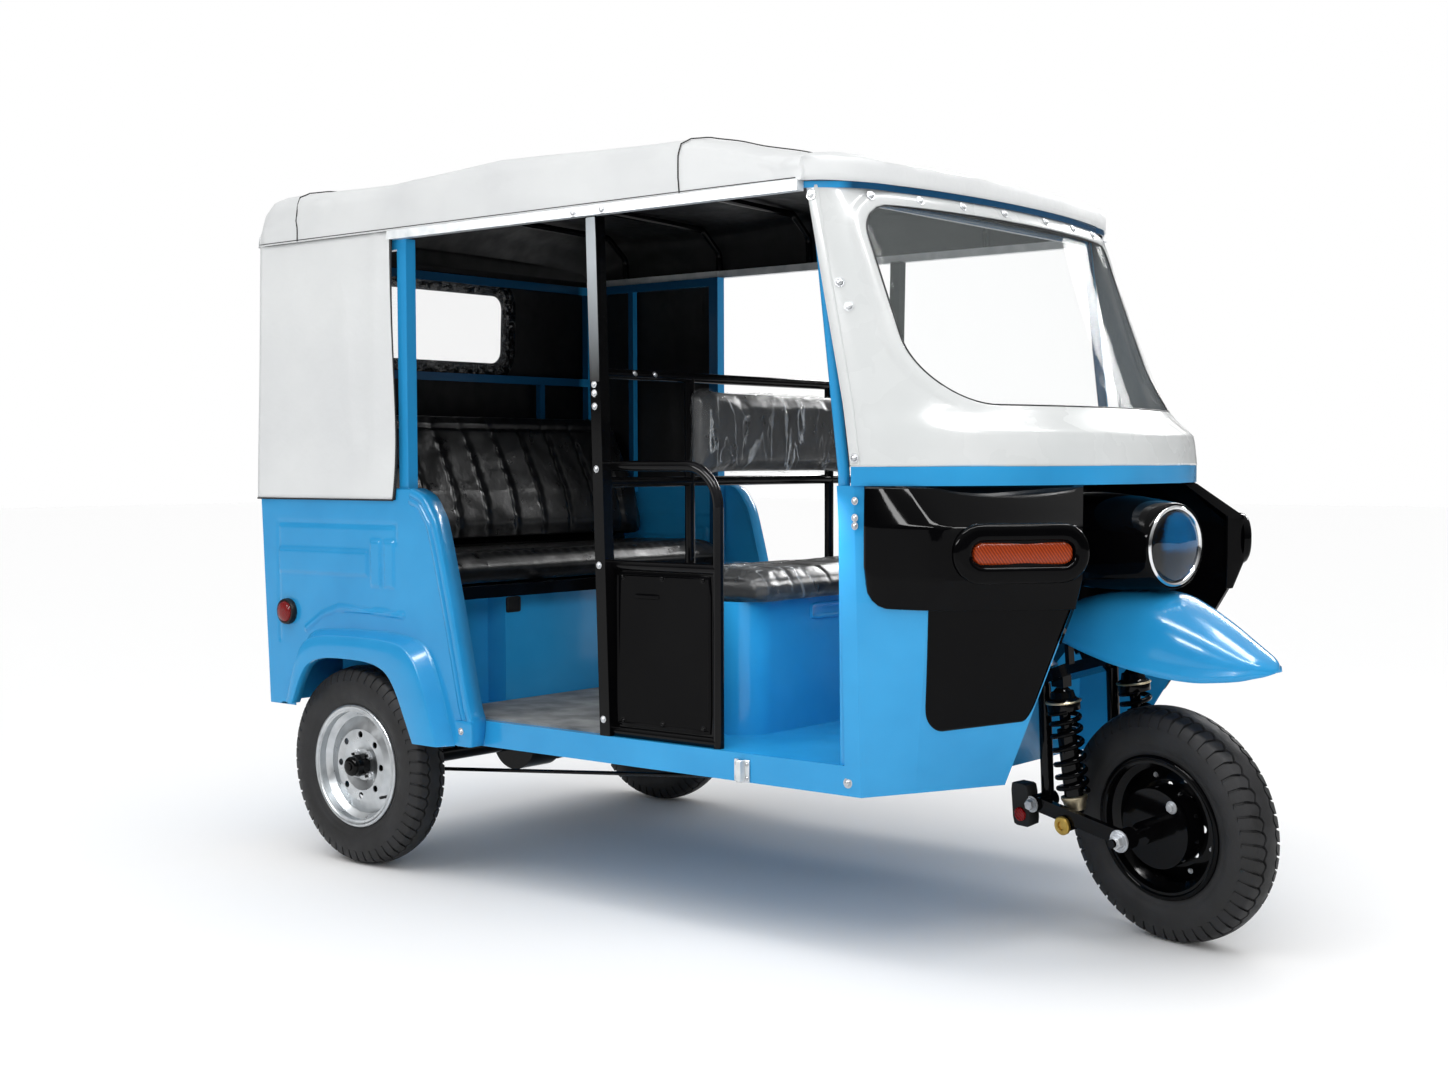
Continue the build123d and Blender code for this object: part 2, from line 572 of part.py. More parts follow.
BAND_LOW_Z = 1036
BAND_TOP_Z = 1077
NOSE_REACH = 395              # of the band and the fairing's foot ahead of the front pillars
FAIRING_TOP_Z = 1690
FAIRING_ROWS = [              # height, rear edge x, reach, half width
    (BAND_TOP_Z, REAR_AXLE_X + 1626, NOSE_REACH, NOSE_HALF),
    (1140, REAR_AXLE_X + 1618, NOSE_REACH, NOSE_HALF),
    (1205, REAR_AXLE_X + 1608, NOSE_REACH - 75, NOSE_HALF),
    (FAIRING_TOP_Z, HEADER_X, 150, NOSE_HALF - 3),
]
SCREEN_LOW_Z = 1212
SCREEN_HIGH_Z = 1641
SCREEN_HALF = NOSE_HALF - 78
SCREEN_CORNER = 75


def screen_cut(margin):
    """The windscreen's rounded outline seen from the front, as a block along X."""
    low, high = SCREEN_LOW_Z - margin, SCREEN_HIGH_Z + margin
    plane = Plane(origin=(HEADER_X + 20, 0, (low + high) / 2), x_dir=(0, 1, 0), z_dir=(1, 0, 0))
    return extrude(plane * RectangleRounded(2 * (SCREEN_HALF + margin), high - low, SCREEN_CORNER + margin), 700)


def front_fairing():
    return bow_shell(FAIRING_ROWS, FIBREGLASS) - screen_cut(0)


def windshield():
    rows = [FAIRING_ROWS[1]] + FAIRING_ROWS[2:]
    glass = bow_shell(rows, 5, outside=-FIBREGLASS - SEAT_GAP)
    return glass & screen_cut(14)


# rows: height, then plan points from the pillar round the wing's side and front edge into the wheel well
COWL_ROWS = [
    (SILL_BOTTOM_Z, [(COWL_REAR, -620), (15, -620), (75, -500), (175, -290), (60, -262), (60, 0)]),
    (787, [(COWL_REAR, -632), (15, -638), (170, -600), (400, -392), (38, -330), (38, 0)]),
    (930, [(-34, -634), (10, -638), (168, -600), (398, -392), (26, -330), (26, 0)]),
    (BAND_LOW_Z, [(-40, -634), (5, -636), (122, -592), (268, -392), (20, -330), (20, 0)]),
]


def cowl_line(row):
    """A row's points in the vehicle's frame, for both halves."""
    right = [(A_PILLAR_X + x, y * NOSE_HALF / NOSE_DRAWN_HALF) for x, y in row]
    return right + [(x, -y) for x, y in reversed(right[:-1])]


def front_cowl():
    """Blue front: side skins, wheel well walls and firewall in one ribbon, with the band round its top."""
    skins = ribbon([(z, cowl_line(row)) for z, row in COWL_ROWS], STEEL)
    band_rows = [(BAND_LOW_Z, REAR_AXLE_X + 1626, NOSE_REACH, NOSE_HALF),
                 (BAND_TOP_Z - SEAT_GAP, REAR_AXLE_X + 1626, NOSE_REACH, NOSE_HALF)]
    rear, reach, half = band_rows[0][1:]
    shelf = bow_plate(rear, reach - 3, half - 3, BAND_LOW_Z, BAND_LOW_Z + STEEL)
    shelf -= bow_plate(rear - 1, reach - 95, half - 140, BAND_LOW_Z - 1, BAND_TOP_Z)
    return skins + bow_shell(band_rows, 8) + shelf - neck(4)


def cowl_body(margin):
    """The space that the cowl's skins stand round, a margin larger, filled from its rear edge forward."""
    faces = []
    for z, row in COWL_ROWS:
        edge = inset_line(cowl_line(row), -margin)
        faces.append(make_face(Polyline(*[(x, y, z) for x, y in edge], close=True)))
    return loft(faces, ruled=True)


def on_cowl(z, station, share):
    """A plan point on the cowl's outer skin: between station and the next by share, at height z."""
    for (z0, low), (z1, high) in zip(COWL_ROWS, COWL_ROWS[1:]):
        if z0 <= z <= z1:
            t = (z - z0) / (z1 - z0)
            blend = [(a[0] + (b[0] - a[0]) * t, a[1] + (b[1] - a[1]) * t) for a, b in zip(low, high)]
            (xa, ya), (xb, yb) = blend[station], blend[station + 1]
            return (A_PILLAR_X + xa + (xb - xa) * share, (ya + (yb - ya) * share) * NOSE_HALF / NOSE_DRAWN_HALF)


WING_ROWS = [                 # height, then plan points: rear end, corner, middle, inner front end, its return
    (776, [(40, -641), (180, -620), (294, -509), (408, -398), (396, -380)]),
    (842, [(40, -660), (228, -645), (330, -526), (432, -408), (396, -378)]),
    (952, [(40, -660), (228, -645), (330, -526), (432, -408), (396, -378)]),
    (BAND_LOW_Z - SEAT_GAP, [(40, -646), (140, -608), (294, -440), (362, -275), (330, -262)]),
]


def wing_line(row):
    return [(A_PILLAR_X + x, y * NOSE_HALF / NOSE_DRAWN_HALF) for x, y in row]


def lamp_wing():
    """Gloss black wing on the right, hollow, seated on the cowl, with a pocket for the turn lamp."""
    shell = ribbon([(z, wing_line(row)) for z, row in WING_ROWS], FIBREGLASS)
    return shell - cowl_body(SEAT_GAP) - turn_lamp(SEAT_GAP)


def turn_lamp(margin=0):
    """Amber lamp let into the wing's front face, on the right."""
    (xa, ya), _, (xb, yb) = wing_line(WING_ROWS[1][1][1:4])
    angle = Vector(xb - xa, yb - ya).get_angle(Vector(1, 0))
    centre = (xa + (xb - xa) * 0.56, ya + (yb - ya) * 0.56)
    z = (WING_ROWS[1][0] + WING_ROWS[2][0]) / 2
    return Pos(*centre, z) * Rot(0, 0, angle) * Box(215 + 2 * margin, 22 + 2 * margin, 46 + 2 * margin)


LOWER_PANEL_ROWS = [(505, 0.30, 0.96), (560, 0.22, 0.97), (775, 0.02, 0.98)]
LOWER_PANEL_STEPS = 4         # rows added between two, so that the panel follows the twisted skin


def lower_panel():
    """Black panel on the cowl's front, on the right; rows of height and its two edges along the skin."""
    rows = []
    for low, high in zip(LOWER_PANEL_ROWS, LOWER_PANEL_ROWS[1:]):
        for step in range(LOWER_PANEL_STEPS):
            rows.append([a + (b - a) * step / LOWER_PANEL_STEPS for a, b in zip(low, high)])
    faces = []
    for z, start, end in rows + [LOWER_PANEL_ROWS[-1]]:
        a, b = on_cowl(z, 2, start), on_cowl(z, 2, end)
        out = Vector(b[1] - a[1], a[0] - b[0]).normalized()
        gap, thick = SEAT_GAP + 0.5, 5
        quad = [Vector(*a) + out * gap, Vector(*b) + out * gap, Vector(*b) + out * (gap + thick),
                Vector(*a) + out * (gap + thick)]
        faces.append(make_face(Polyline(*[(p.X, p.Y, z) for p in quad], close=True)))
    return loft(faces, ruled=True)


def dashboard():
    inside = 8 + SEAT_GAP
    low, high = BAND_TOP_Z - 20, BAND_TOP_Z - 16
    plate = bow_plate(REAR_AXLE_X + 1626, NOSE_REACH - inside, NOSE_HALF - inside, low, high)
    plate += block(A_PILLAR_X - 18, A_PILLAR_X + 1, -NOSE_HALF + 40, NOSE_HALF - 40, low, high)
    z = BAND_TOP_Z
    hole = Pos(axis_x(z - 18), 0, z - 18) * Cylinder(62, 60)
    return plate - hole


# ---------------------------------------------------------------- cabin frame
def lean_y(z):
    """Half width of the centre pillars' outer face, which lean out towards the roof."""
    return SILL_HALF_WIDTH + (RAIL_HALF_WIDTH - 15 - SILL_HALF_WIDTH) * (z - FLOOR_Z) / (RAIL_TOP_Z - FLOOR_Z)


PILLAR_TOP_Z = RAIL_TOP_Z - RAIL_HEIGHT


def centre_pillar():
    top = PILLAR_TOP_Z
    face = make_face(Polyline((B_PILLAR_X, -lean_y(FLOOR_Z), FLOOR_Z), (B_PILLAR_X, -lean_y(top), top),
                              (B_PILLAR_X, -lean_y(top) + PILLAR, top),
                              (B_PILLAR_X, -lean_y(FLOOR_Z) + PILLAR, FLOOR_Z), close=True))
    return extrude(face, PILLAR / 2, dir=(1, 0, 0), both=True)


def front_pillar():
    y = -NOSE_HALF + 28
    foot = (A_PILLAR_X - 42, y + 16, FLOOR_Z - 4)
    knee = (A_PILLAR_X - 36, y, 1060)
    head = (HEADER_X + 8, y, FAIRING_TOP_Z - 4)
    return bent_tube([foot, knee, head], 13, 200) - block(foot[0] - 30, foot[0] + 30, y - 28, y + 52, FLOOR_Z - 30, FLOOR_Z)


def front_pillars():
    """Both front pillars joined by a bar over the windscreen, and the trim under the canopy's front edge."""
    right, left = both_sides(front_pillar())
    x, z = HEADER_X + 10, FAIRING_TOP_Z - 20
    half = NOSE_HALF - 28
    frame = right + left + rod((x, -half, z), (x, half, z), 9)
    trim = [(height, HEADER_X, 165, NOSE_HALF + 7) for height in (z + 6, FAIRING_TOP_Z)]
    return frame, bow_shell(trim, 5)


GUARD_TOP_Z = 1079
GUARD_MID_Z = 842
GUARD_LENGTH = 335
GUARD_RADIUS = TUBE / 2
GUARD_Y = SILL_HALF_WIDTH - 20


def side_guard():
    """Round-tube guard with a sheet panel in its lower half, from the centre pillar forward, on the right."""
    x0 = B_PILLAR_X + PILLAR / 2
    x1 = x0 + GUARD_LENGTH - GUARD_RADIUS
    y = -GUARD_Y
    low = FLOOR_Z + GUARD_RADIUS
    hoop = bent_tube([(x0, y, GUARD_TOP_Z), (x1, y, GUARD_TOP_Z), (x1, y, FLOOR_Z)], GUARD_RADIUS, 95)
    hoop += rod((x0, y, low), (x1, y, low), GUARD_RADIUS)
    hoop += rod((x0, y, GUARD_MID_Z), (x1, y, GUARD_MID_Z), GUARD_RADIUS)
    hoop += block(x0, x1, y - 2, y + 2, low, GUARD_MID_Z)
    return hoop


BACK_BAR_Z = 1300
BACK_LOW_Z = 1040
PAD_HALF = 350
POST_Y = 300


def backrest_frame():
    """Cross bars between the centre pillars and two posts down to the floor behind the driver."""
    x = B_PILLAR_X
    r = GUARD_RADIUS
    shape = None
    for z in (BACK_BAR_Z, BACK_LOW_Z):
        half = lean_y(z - r) - PILLAR
        cross = rod((x, -half, z), (x, half, z), r)
        shape = cross if shape is None else shape + cross
    for side in (-1, 1):
        shape += rod((x, side * POST_Y, FLOOR_Z), (x, side * POST_Y, BACK_BAR_Z), r)
    return shape


REAR_POST_X = BODY_REAR_X + 28.5
BEAM = 25
C_PILLAR_FOOT_Z = 645         # above the wheel arch
BACK_BEAM_Z = 1340


def upper_frame():
    """Blue rear pillars, corner posts, struts and beams, each bar butted to the next."""
    y_in = BODY_HALF_WIDTH - SIDE_WALL
    top, beam_low = PILLAR_TOP_Z, PILLAR_TOP_Z - BEAM
    panel = PANEL_TOP_Z - 40
    front = REAR_POST_X + BEAM
    bars = []
    for side in (-1, 1):
        outer, inner = side * y_in, side * (y_in - PILLAR)
        bars += [block(C_PILLAR_X - 15, C_PILLAR_X + 20, outer, inner, C_PILLAR_FOOT_Z, top),
                 block(REAR_POST_X, front, outer, inner, PANEL_TOP_Z - 300, top),
                 block(front, C_PILLAR_X - 15, outer, side * (y_in - BEAM), beam_low, top),
                 block(REAR_AXLE_X - 160, REAR_AXLE_X - 140, outer, side * (y_in - 20), panel + 10, beam_low),
                 block(REAR_POST_X + 2, REAR_POST_X + 22, side * 400, side * 420, panel + BEAM, BACK_BEAM_Z)]
    half = y_in - PILLAR
    for z in (beam_low, BACK_BEAM_Z, panel):
        bars.append(block(REAR_POST_X, front, -half, half, z, z + BEAM))
    return bars


ROOF_BOWS = [-190, 208, 560, 1180, 1440]      # ahead of the rear axle
BOW_RADIUS = 10


def roof_bow(x):
    """A bent tube from rail to rail under the canopy."""
    crown, shoulder, half = canopy_at(x)
    brow = canopy_brow(crown, shoulder) - 20
    foot, knee, hip = half - 18, half - 22, half - 104
    place = REAR_AXLE_X + x
    right = [(place, -foot, RAIL_TOP_Z - 6), (place, -knee, shoulder - 34), (place, -hip, brow)]
    left = [(x_left, -y, z) for x_left, y, z in reversed(right)]
    tube = bent_tube(right + [(place, 0, crown - 19)] + left, BOW_RADIUS, 30)
    return tube - block(place - 20, place + 20, -half, half, RAIL_TOP_Z - 30, RAIL_TOP_Z)


def roof_rails():
    """Aluminium rails along the roof's sides; behind the curtain's front edge they run inside it."""
    shapes = []
    inner = RAIL_HALF_WIDTH - RAIL_WIDTH
    for side in (-1, 1):
        rail = block(CURTAIN_FRONT_X + SEAT_GAP, HEADER_X + 4, side * RAIL_HALF_WIDTH, side * inner, PILLAR_TOP_Z,
                     RAIL_TOP_Z)
        rail += block(REAR_POST_X, C_PILLAR_X, side * BODY_HALF_WIDTH, side * (BODY_HALF_WIDTH - 20), PILLAR_TOP_Z,
                      RAIL_TOP_Z)
        shapes.append(rail)
    return shapes


# ---------------------------------------------------------------- rear body
ARCH_REAR = -230              # the wheel arch's ends ahead of the axle, at the panel's foot
ARCH_FRONT = 290
ARCH_TOP_Z = 566
FLARE_OUT = 42                # the flare stands this far out from the side panel
PANEL_FOOT_Z = 367
LIP_DEPTH = 44                # of the panel's folded front edge


def arch(rear, front, foot, shoulder_z, top_z, y):
    """The wheel arch as a closed outline at a given y: slanting sides and a flat top."""
    x = REAR_AXLE_X
    return make_face(Polyline((x + rear, y, foot), (x + rear + 72, y, shoulder_z), (x + rear + 150, y, top_z),
                              (x + front - 160, y, top_z), (x + front - 80, y, shoulder_z), (x + front, y, foot),
                              close=True))


PRESS_OUT = 5                 # how far the pressed ribs stand out from the panel
PRESS_BARS = [(-303, 78, 786, 856), (87, 131, 758, 885), (142, 185, 758, 885)]     # from the axle: x, x, z, z
PRESS_ARCH = [(-196, 632), (-122, 680), (-52, 702), (84, 700), (218, 694), (214, 682), (83, 688), (-49, 690),
              (-114, 668), (-186, 624)]


def pressed_forms():
    """Ribs raised from the panel's outer face, on the right: a bar, two uprights and a swage over the arch."""
    shape = None
    for x0, x1, z0, z1 in PRESS_BARS:
        corners = [(x0, z0), (x1, z0), (x1, z1), (x0, z1)]
        base = make_face(Polyline(*[(REAR_AXLE_X + x, -BODY_HALF_WIDTH + 1, z) for x, z in corners], close=True))
        rib = extrude(base, PRESS_OUT + 1, dir=(0, -1, 0), taper=30)
        shape = rib if shape is None else shape + rib
    points = [(REAR_AXLE_X + x, -BODY_HALF_WIDTH + 1, z) for x, z in PRESS_ARCH]
    return shape + extrude(make_face(Polyline(*points, close=True)), PRESS_OUT + 1, dir=(0, -1, 0))


def rear_side_panel():
    """Pressed side panel on the right with its flared arch and the folded lip along its front edge."""
    y = BODY_HALF_WIDTH
    x = REAR_AXLE_X
    outline = [(BODY_REAR_X, PANEL_TOP_Z), (BODY_REAR_X + REAR_LEAN, PANEL_FOOT_Z + 50), (x - 190, PANEL_FOOT_Z + 46),
               (x + 200, PANEL_FOOT_Z), (x + 467, PANEL_FOOT_Z), (x + 479, 432), (x + 461, 487), (x + 409, 713),
               (x + 355, 916), (x + 307, 1000), (x + 260, PANEL_TOP_Z)]
    skin = sheet_outline(outline, y, SIDE_WALL)
    lip = [(x + 479, 432), (x + 461, 487), (x + 409, 713), (x + 355, 916), (x + 307, 1000), (x + 260, PANEL_TOP_Z),
           (x + 252, PANEL_TOP_Z - 14), (x + 292, 988), (x + 334, 908), (x + 388, 708), (x + 440, 484), (x + 456, 432)]
    skin += sheet_outline(lip, y, LIP_DEPTH)
    foot = PANEL_FOOT_Z - 2
    outer = loft([arch(-268, 404, foot, 600, 640, -y + 2), arch(-250, 384, foot, 585, 628, -y - FLARE_OUT)], ruled=True)
    inner = loft([arch(-256, 380, foot - 1, 588, 628, -y + SIDE_WALL + 1),
                  arch(ARCH_REAR, ARCH_FRONT, foot - 1, 532, ARCH_TOP_Z, -y - FLARE_OUT + 4)], ruled=True)
    mouth = extrude(arch(ARCH_REAR, ARCH_FRONT, foot - 1, 532, ARCH_TOP_Z, -y - FLARE_OUT - 1), 30, dir=(0, 1, 0))
    flare = outer - inner - mouth
    flare -= block(x - 400, x, -y - FLARE_OUT - 5, -y + 50, foot - 20, PANEL_FOOT_Z + 62)
    return skin - inner + flare + pressed_forms()


REAR_WALL_TOP_Z = 995
PLATE_HOLE_SPACING = 180      # holes for a number plate's bolts
PLATE_HOLE_RADIUS = 3.5
PLATE_HOLE_Z = 700


def rear_wall():
    """Blue tailboard between the side panels, leaning in towards its foot."""
    half = BODY_HALF_WIDTH - SIDE_WALL
    top, foot = REAR_WALL_TOP_Z, PANEL_FOOT_Z + 50
    lean = REAR_LEAN / (PANEL_TOP_Z - foot)
    x_top = BODY_REAR_X + lean * (PANEL_TOP_Z - top)
    face = make_face(Polyline((x_top, -half, top), (BODY_REAR_X + REAR_LEAN, -half, foot),
                              (BODY_REAR_X + REAR_LEAN + SIDE_WALL, -half, foot), (x_top + SIDE_WALL, -half, top),
                              close=True))
    wall = extrude(face, 2 * half, dir=(0, 1, 0))
    for side in (-1, 1):
        hole = Pos(x_top, side * PLATE_HOLE_SPACING / 2, PLATE_HOLE_Z) * Rot(0, 90, 0)
        wall -= hole * Cylinder(PLATE_HOLE_RADIUS, 100)
    return wall


SEAT_BOX_X = REAR_AXLE_X + 250
SEAT_BOX_TOP_Z = 730
SEAT_BOX_HALF = 330
WHEEL_HOUSE_HALF = BODY_HALF_WIDTH - 135
CUSHION_TOP_Z = 848


def passenger_seat_box():
    """Hollow box under the passengers' seat, with the set-back wheel houses at both ends."""
    low, top = FLOOR_Z, SEAT_BOX_TOP_Z
    rear = REAR_AXLE_X - 200
    house_front = SEAT_BOX_X - 70
    wall = STEEL
    shape = block(rear, SEAT_BOX_X, -SEAT_BOX_HALF, SEAT_BOX_HALF, low, top)
    shape += block(rear, house_front, -WHEEL_HOUSE_HALF, WHEEL_HOUSE_HALF, low, top)
    shape -= block(rear + wall, SEAT_BOX_X - wall, wall - SEAT_BOX_HALF, SEAT_BOX_HALF - wall, low - 1, top - wall)
    for side in (-1, 1):
        shape -= block(rear + wall, house_front - wall, side * (SEAT_BOX_HALF - 2 * wall),
                       side * (WHEEL_HOUSE_HALF - wall), low - 1, top - wall)
        y_in = side * (BODY_HALF_WIDTH - SIDE_WALL - PILLAR - 1)
        shape += block(rear, house_front, side * (WHEEL_HOUSE_HALF - wall), y_in, 655, 655 + wall)
        shape += block(house_front - wall, house_front, side * (WHEEL_HOUSE_HALF - wall), y_in, 655, top)
    return shape


def passenger_seat_frame():
    """Rail along the seat's front with cross bars, and the backrest's board behind."""
    z = SEAT_BOX_TOP_Z
    x = SEAT_BOX_X + 62
    half = BODY_HALF_WIDTH - SIDE_WALL - PILLAR - 2
    shape = block(x, x + 30, -half, half, z, z + 32)
    for y in (-half + 20, -200, 200, half - 20):
        shape += block(REAR_AXLE_X - 150, x, y - 15, y + 15, z, z + 32)
    shape += block(REAR_AXLE_X - 150, REAR_AXLE_X - 120, -half, half, z, z + 32)
    board = Polyline(*[(REAR_AXLE_X + dx, BOARD_HALF, bz) for dx, bz in BOARD_LINE], close=True)
    shape += extrude(make_face(board), 2 * BOARD_HALF, dir=(0, -1, 0))
    return shape


SEAT_FRAME_TOP_Z = SEAT_BOX_TOP_Z + 32
BOARD_HALF = BODY_HALF_WIDTH - 105      # board behind the backrest
BOARD_LINE = [(-116, SEAT_BOX_TOP_Z + 30), (-116, 848), (-211.7, 1200), (-223.7, 1200), (-131, 866),
              (-131, SEAT_BOX_TOP_Z + 30)]     # (x ahead of the rear axle, z)


def soft_block(x0, x1, y0, y1, z0, z1, radius):
    """A cushion's plain form with rounded edges."""
    shape = block(x0, x1, y0, y1, z0, z1)
    return fillet(shape.edges(), radius)


PASSENGER_HALF = BODY_HALF_WIDTH - 65
BACK_FOOT_X = REAR_AXLE_X - 20
BACK_HEAD_X = REAR_AXLE_X - 160
BACK_TOP_Z = 1250
BACK_THICK = 95


def passenger_seat_cushion():
    low = SEAT_FRAME_TOP_Z + SEAT_GAP
    return soft_block(BACK_FOOT_X - 80, SEAT_BOX_X + 50, -PASSENGER_HALF, PASSENGER_HALF, low, CUSHION_TOP_Z, 22)


def passenger_seat_back():
    """Leaning backrest, its foot resting behind the cushion's top."""
    low = CUSHION_TOP_Z + SEAT_GAP
    face = make_face(Polyline((BACK_FOOT_X, low), (BACK_HEAD_X, BACK_TOP_Z), (BACK_HEAD_X - BACK_THICK + 30,
                              BACK_TOP_Z), (BACK_FOOT_X - BACK_THICK, low), close=True))
    plane = Plane(origin=(0, PASSENGER_HALF, 0), x_dir=(1, 0, 0), z_dir=(0, -1, 0))
    shape = extrude(plane * face, 2 * PASSENGER_HALF)
    return fillet(shape.edges(), 18)


DRIVER_BOX_HALF = 430
DRIVER_BOX_FRONT_X = REAR_AXLE_X + 1180
DRIVER_BOX_REAR_X = B_PILLAR_X + 25
DRIVER_BOX_TOP_Z = 752
DRIVER_CUSHION_HALF = 450
DRIVER_CUSHION_TOP_Z = 830


def driver_seat_box():
    """Hollow blue box under the driver's bench, its front corners rounded."""
    z = FLOOR_Z
    length = DRIVER_BOX_FRONT_X - DRIVER_BOX_REAR_X
    x = (DRIVER_BOX_FRONT_X + DRIVER_BOX_REAR_X) / 2

    def solid(inset, low, high):
        shape = Pos(x, 0, (low + high) / 2) * Box(length - 2 * inset, 2 * (DRIVER_BOX_HALF - inset), high - low)
        corners = shape.edges().filter_by(Axis.Z).sort_by(Axis.X)[-2:]
        return fillet(corners, 90 - inset)

    return solid(0, z, DRIVER_BOX_TOP_Z) - solid(STEEL, z - 1, DRIVER_BOX_TOP_Z - STEEL)


def driver_seat_cushion():
    low = DRIVER_BOX_TOP_Z + SEAT_GAP
    return soft_block(B_PILLAR_X + GUARD_RADIUS + 4, REAR_AXLE_X + 1245, -DRIVER_CUSHION_HALF, DRIVER_CUSHION_HALF, low,
                      DRIVER_CUSHION_TOP_Z, 24)


def driver_backrest_pad():
    front = B_PILLAR_X + GUARD_RADIUS + SEAT_GAP
    return soft_block(front, front + 62, -PAD_HALF, PAD_HALF, BACK_LOW_Z + 5, BACK_BAR_Z - 18, 20)


def battery_pack():
    """One block inside the driver's seat box."""
    return block(DRIVER_BOX_REAR_X + 30, DRIVER_BOX_FRONT_X - 60, -330, 330, FLOOR_Z + SEAT_GAP, FLOOR_Z + 230)


def floor_mat():
    rear = SEAT_BOX_X + 8
    front = B_PILLAR_X - PILLAR / 2 - 4
    return block(rear, front, -SILL_HALF_WIDTH + 24, SILL_HALF_WIDTH - 24, FLOOR_Z, FLOOR_Z + 6)


# ---------------------------------------------------------------- canopy and curtains
CANOPY_HALF = RAIL_HALF_WIDTH
CANOPY_HEM_Z = RAIL_TOP_Z + SEAT_GAP
# x from the rear axle, crown height, height of the side band's top, half width
CANOPY_ROWS = [(-455, 1752, 1708, 655), (-392, 1812, 1756, CANOPY_HALF - 2), (-290, 1848, 1786, CANOPY_HALF),
               (-190, 1850, 1786, CANOPY_HALF), (150, 1842, 1776, CANOPY_HALF), (575, ROOF_CROWN_Z, 1800, CANOPY_HALF),
               (1180, 1840, 1776, CANOPY_HALF), (1367, 1792, 1738, CANOPY_HALF - 2),
               (1590, 1756, 1714, CANOPY_HALF - 8), (1700, 1724, 1706, CANOPY_HALF - 14)]


def canopy_at(x):
    """Crown height, shoulder height and half width of the canopy at x ahead of the rear axle."""
    for low, high in zip(CANOPY_ROWS, CANOPY_ROWS[1:]):
        if low[0] <= x <= high[0]:
            share = (x - low[0]) / (high[0] - low[0])
            return [a + (b - a) * share for a, b in zip(low[1:], high[1:])]


def canopy_brow(crown, shoulder):
    """Height where the shoulder's curve meets the top's."""
    return crown - (crown - shoulder) * 0.22


def canopy_section(x, crown, shoulder, half, inset, hem):
    half, crown, shoulder = half - inset, crown - inset, shoulder - inset
    brow = canopy_brow(crown, shoulder)
    bottom = Line((-half, hem), (half, hem))
    right = Line((half, hem), (half - 4, shoulder))
    left = Line((4 - half, shoulder), (-half, hem))
    shoulder_right = ThreePointArc((half - 4, shoulder), (half - 32, brow - (crown - shoulder) * 0.28),
                                   (half - 110, brow))
    shoulder_left = ThreePointArc((110 - half, brow), (32 - half, brow - (crown - shoulder) * 0.28),
                                  (4 - half, shoulder))
    top = ThreePointArc((half - 110, brow), (0, crown), (110 - half, brow))
    plane = Plane(origin=(REAR_AXLE_X + x, 0, 0), x_dir=(0, 1, 0), z_dir=(1, 0, 0))
    return plane * make_face([bottom, right, shoulder_right, top, shoulder_left, left])


def canopy_roof():
    """The soft roof: a hollow sheet over the bows, closed at both ends, with a bowed front edge."""
    outer = loft([canopy_section(*row, 0, CANOPY_HEM_Z) for row in CANOPY_ROWS], ruled=True)
    rows = [(CANOPY_ROWS[0][0] + FABRIC, *CANOPY_ROWS[0][1:])] + CANOPY_ROWS[1:]
    inner = loft([canopy_section(*row, FABRIC, CANOPY_HEM_Z - 1) for row in rows], ruled=True)

    def front_limit(inset):
        plan = bow_plate(HEADER_X + 6, 158 - inset, CANOPY_HALF - 20 - inset, CANOPY_HEM_Z - 10, ROOF_CROWN_Z + 10)
        return plan + block(REAR_AXLE_X - 600, HEADER_X + 6, -CANOPY_HALF - 5, CANOPY_HALF + 5, CANOPY_HEM_Z - 10,
                            ROOF_CROWN_Z + 10)

    return (outer & front_limit(0)) - (inner & front_limit(FABRIC))


CURTAIN_FOOT_Z = 992
CURTAIN_FOOT_X = REAR_AXLE_X - 391.6
CURTAIN_HEAD_X = REAR_AXLE_X - 362
CURTAIN_FRONT_X = C_PILLAR_X - 30


def side_curtain():
    """Curtain over the rear side, hung outside the side panel's top, on the right."""
    outline = [(CURTAIN_FOOT_X, CURTAIN_FOOT_Z), (CURTAIN_FRONT_X, CURTAIN_FOOT_Z), (CURTAIN_FRONT_X, RAIL_TOP_Z),
               (CURTAIN_HEAD_X, RAIL_TOP_Z)]
    return sheet_outline(outline, BODY_HALF_WIDTH + SEAT_GAP + FABRIC, FABRIC)


WINDOW_HALF = 272
WINDOW_LOW_Z = 1392
WINDOW_HIGH_Z = 1628


def rear_sheet(half, low, high, front_inset, thickness):
    """A leaning sheet across the back, between two heights."""
    def x_at(z):
        share = (z - CURTAIN_FOOT_Z) / (RAIL_TOP_Z - CURTAIN_FOOT_Z)
        return CURTAIN_FOOT_X + (CURTAIN_HEAD_X - CURTAIN_FOOT_X) * share + front_inset

    face = make_face(Polyline((x_at(low), -half, low), (x_at(high), -half, high), (x_at(high) + thickness, -half, high),
                              (x_at(low) + thickness, -half, low), close=True))
    return extrude(face, 2 * half, dir=(0, 1, 0))


def window_cut(margin):
    plane = Plane(origin=(CURTAIN_FOOT_X - 50, 0, (WINDOW_LOW_Z + WINDOW_HIGH_Z) / 2), x_dir=(0, 1, 0), z_dir=(1, 0, 0))
    height = WINDOW_HIGH_Z - WINDOW_LOW_Z
    return extrude(plane * RectangleRounded(2 * (WINDOW_HALF + margin), height + 2 * margin, 40 + margin), 200)


def rear_curtain():
    half = BODY_HALF_WIDTH
    return rear_sheet(half, CURTAIN_FOOT_Z, RAIL_TOP_Z, 0, FABRIC) - window_cut(0)


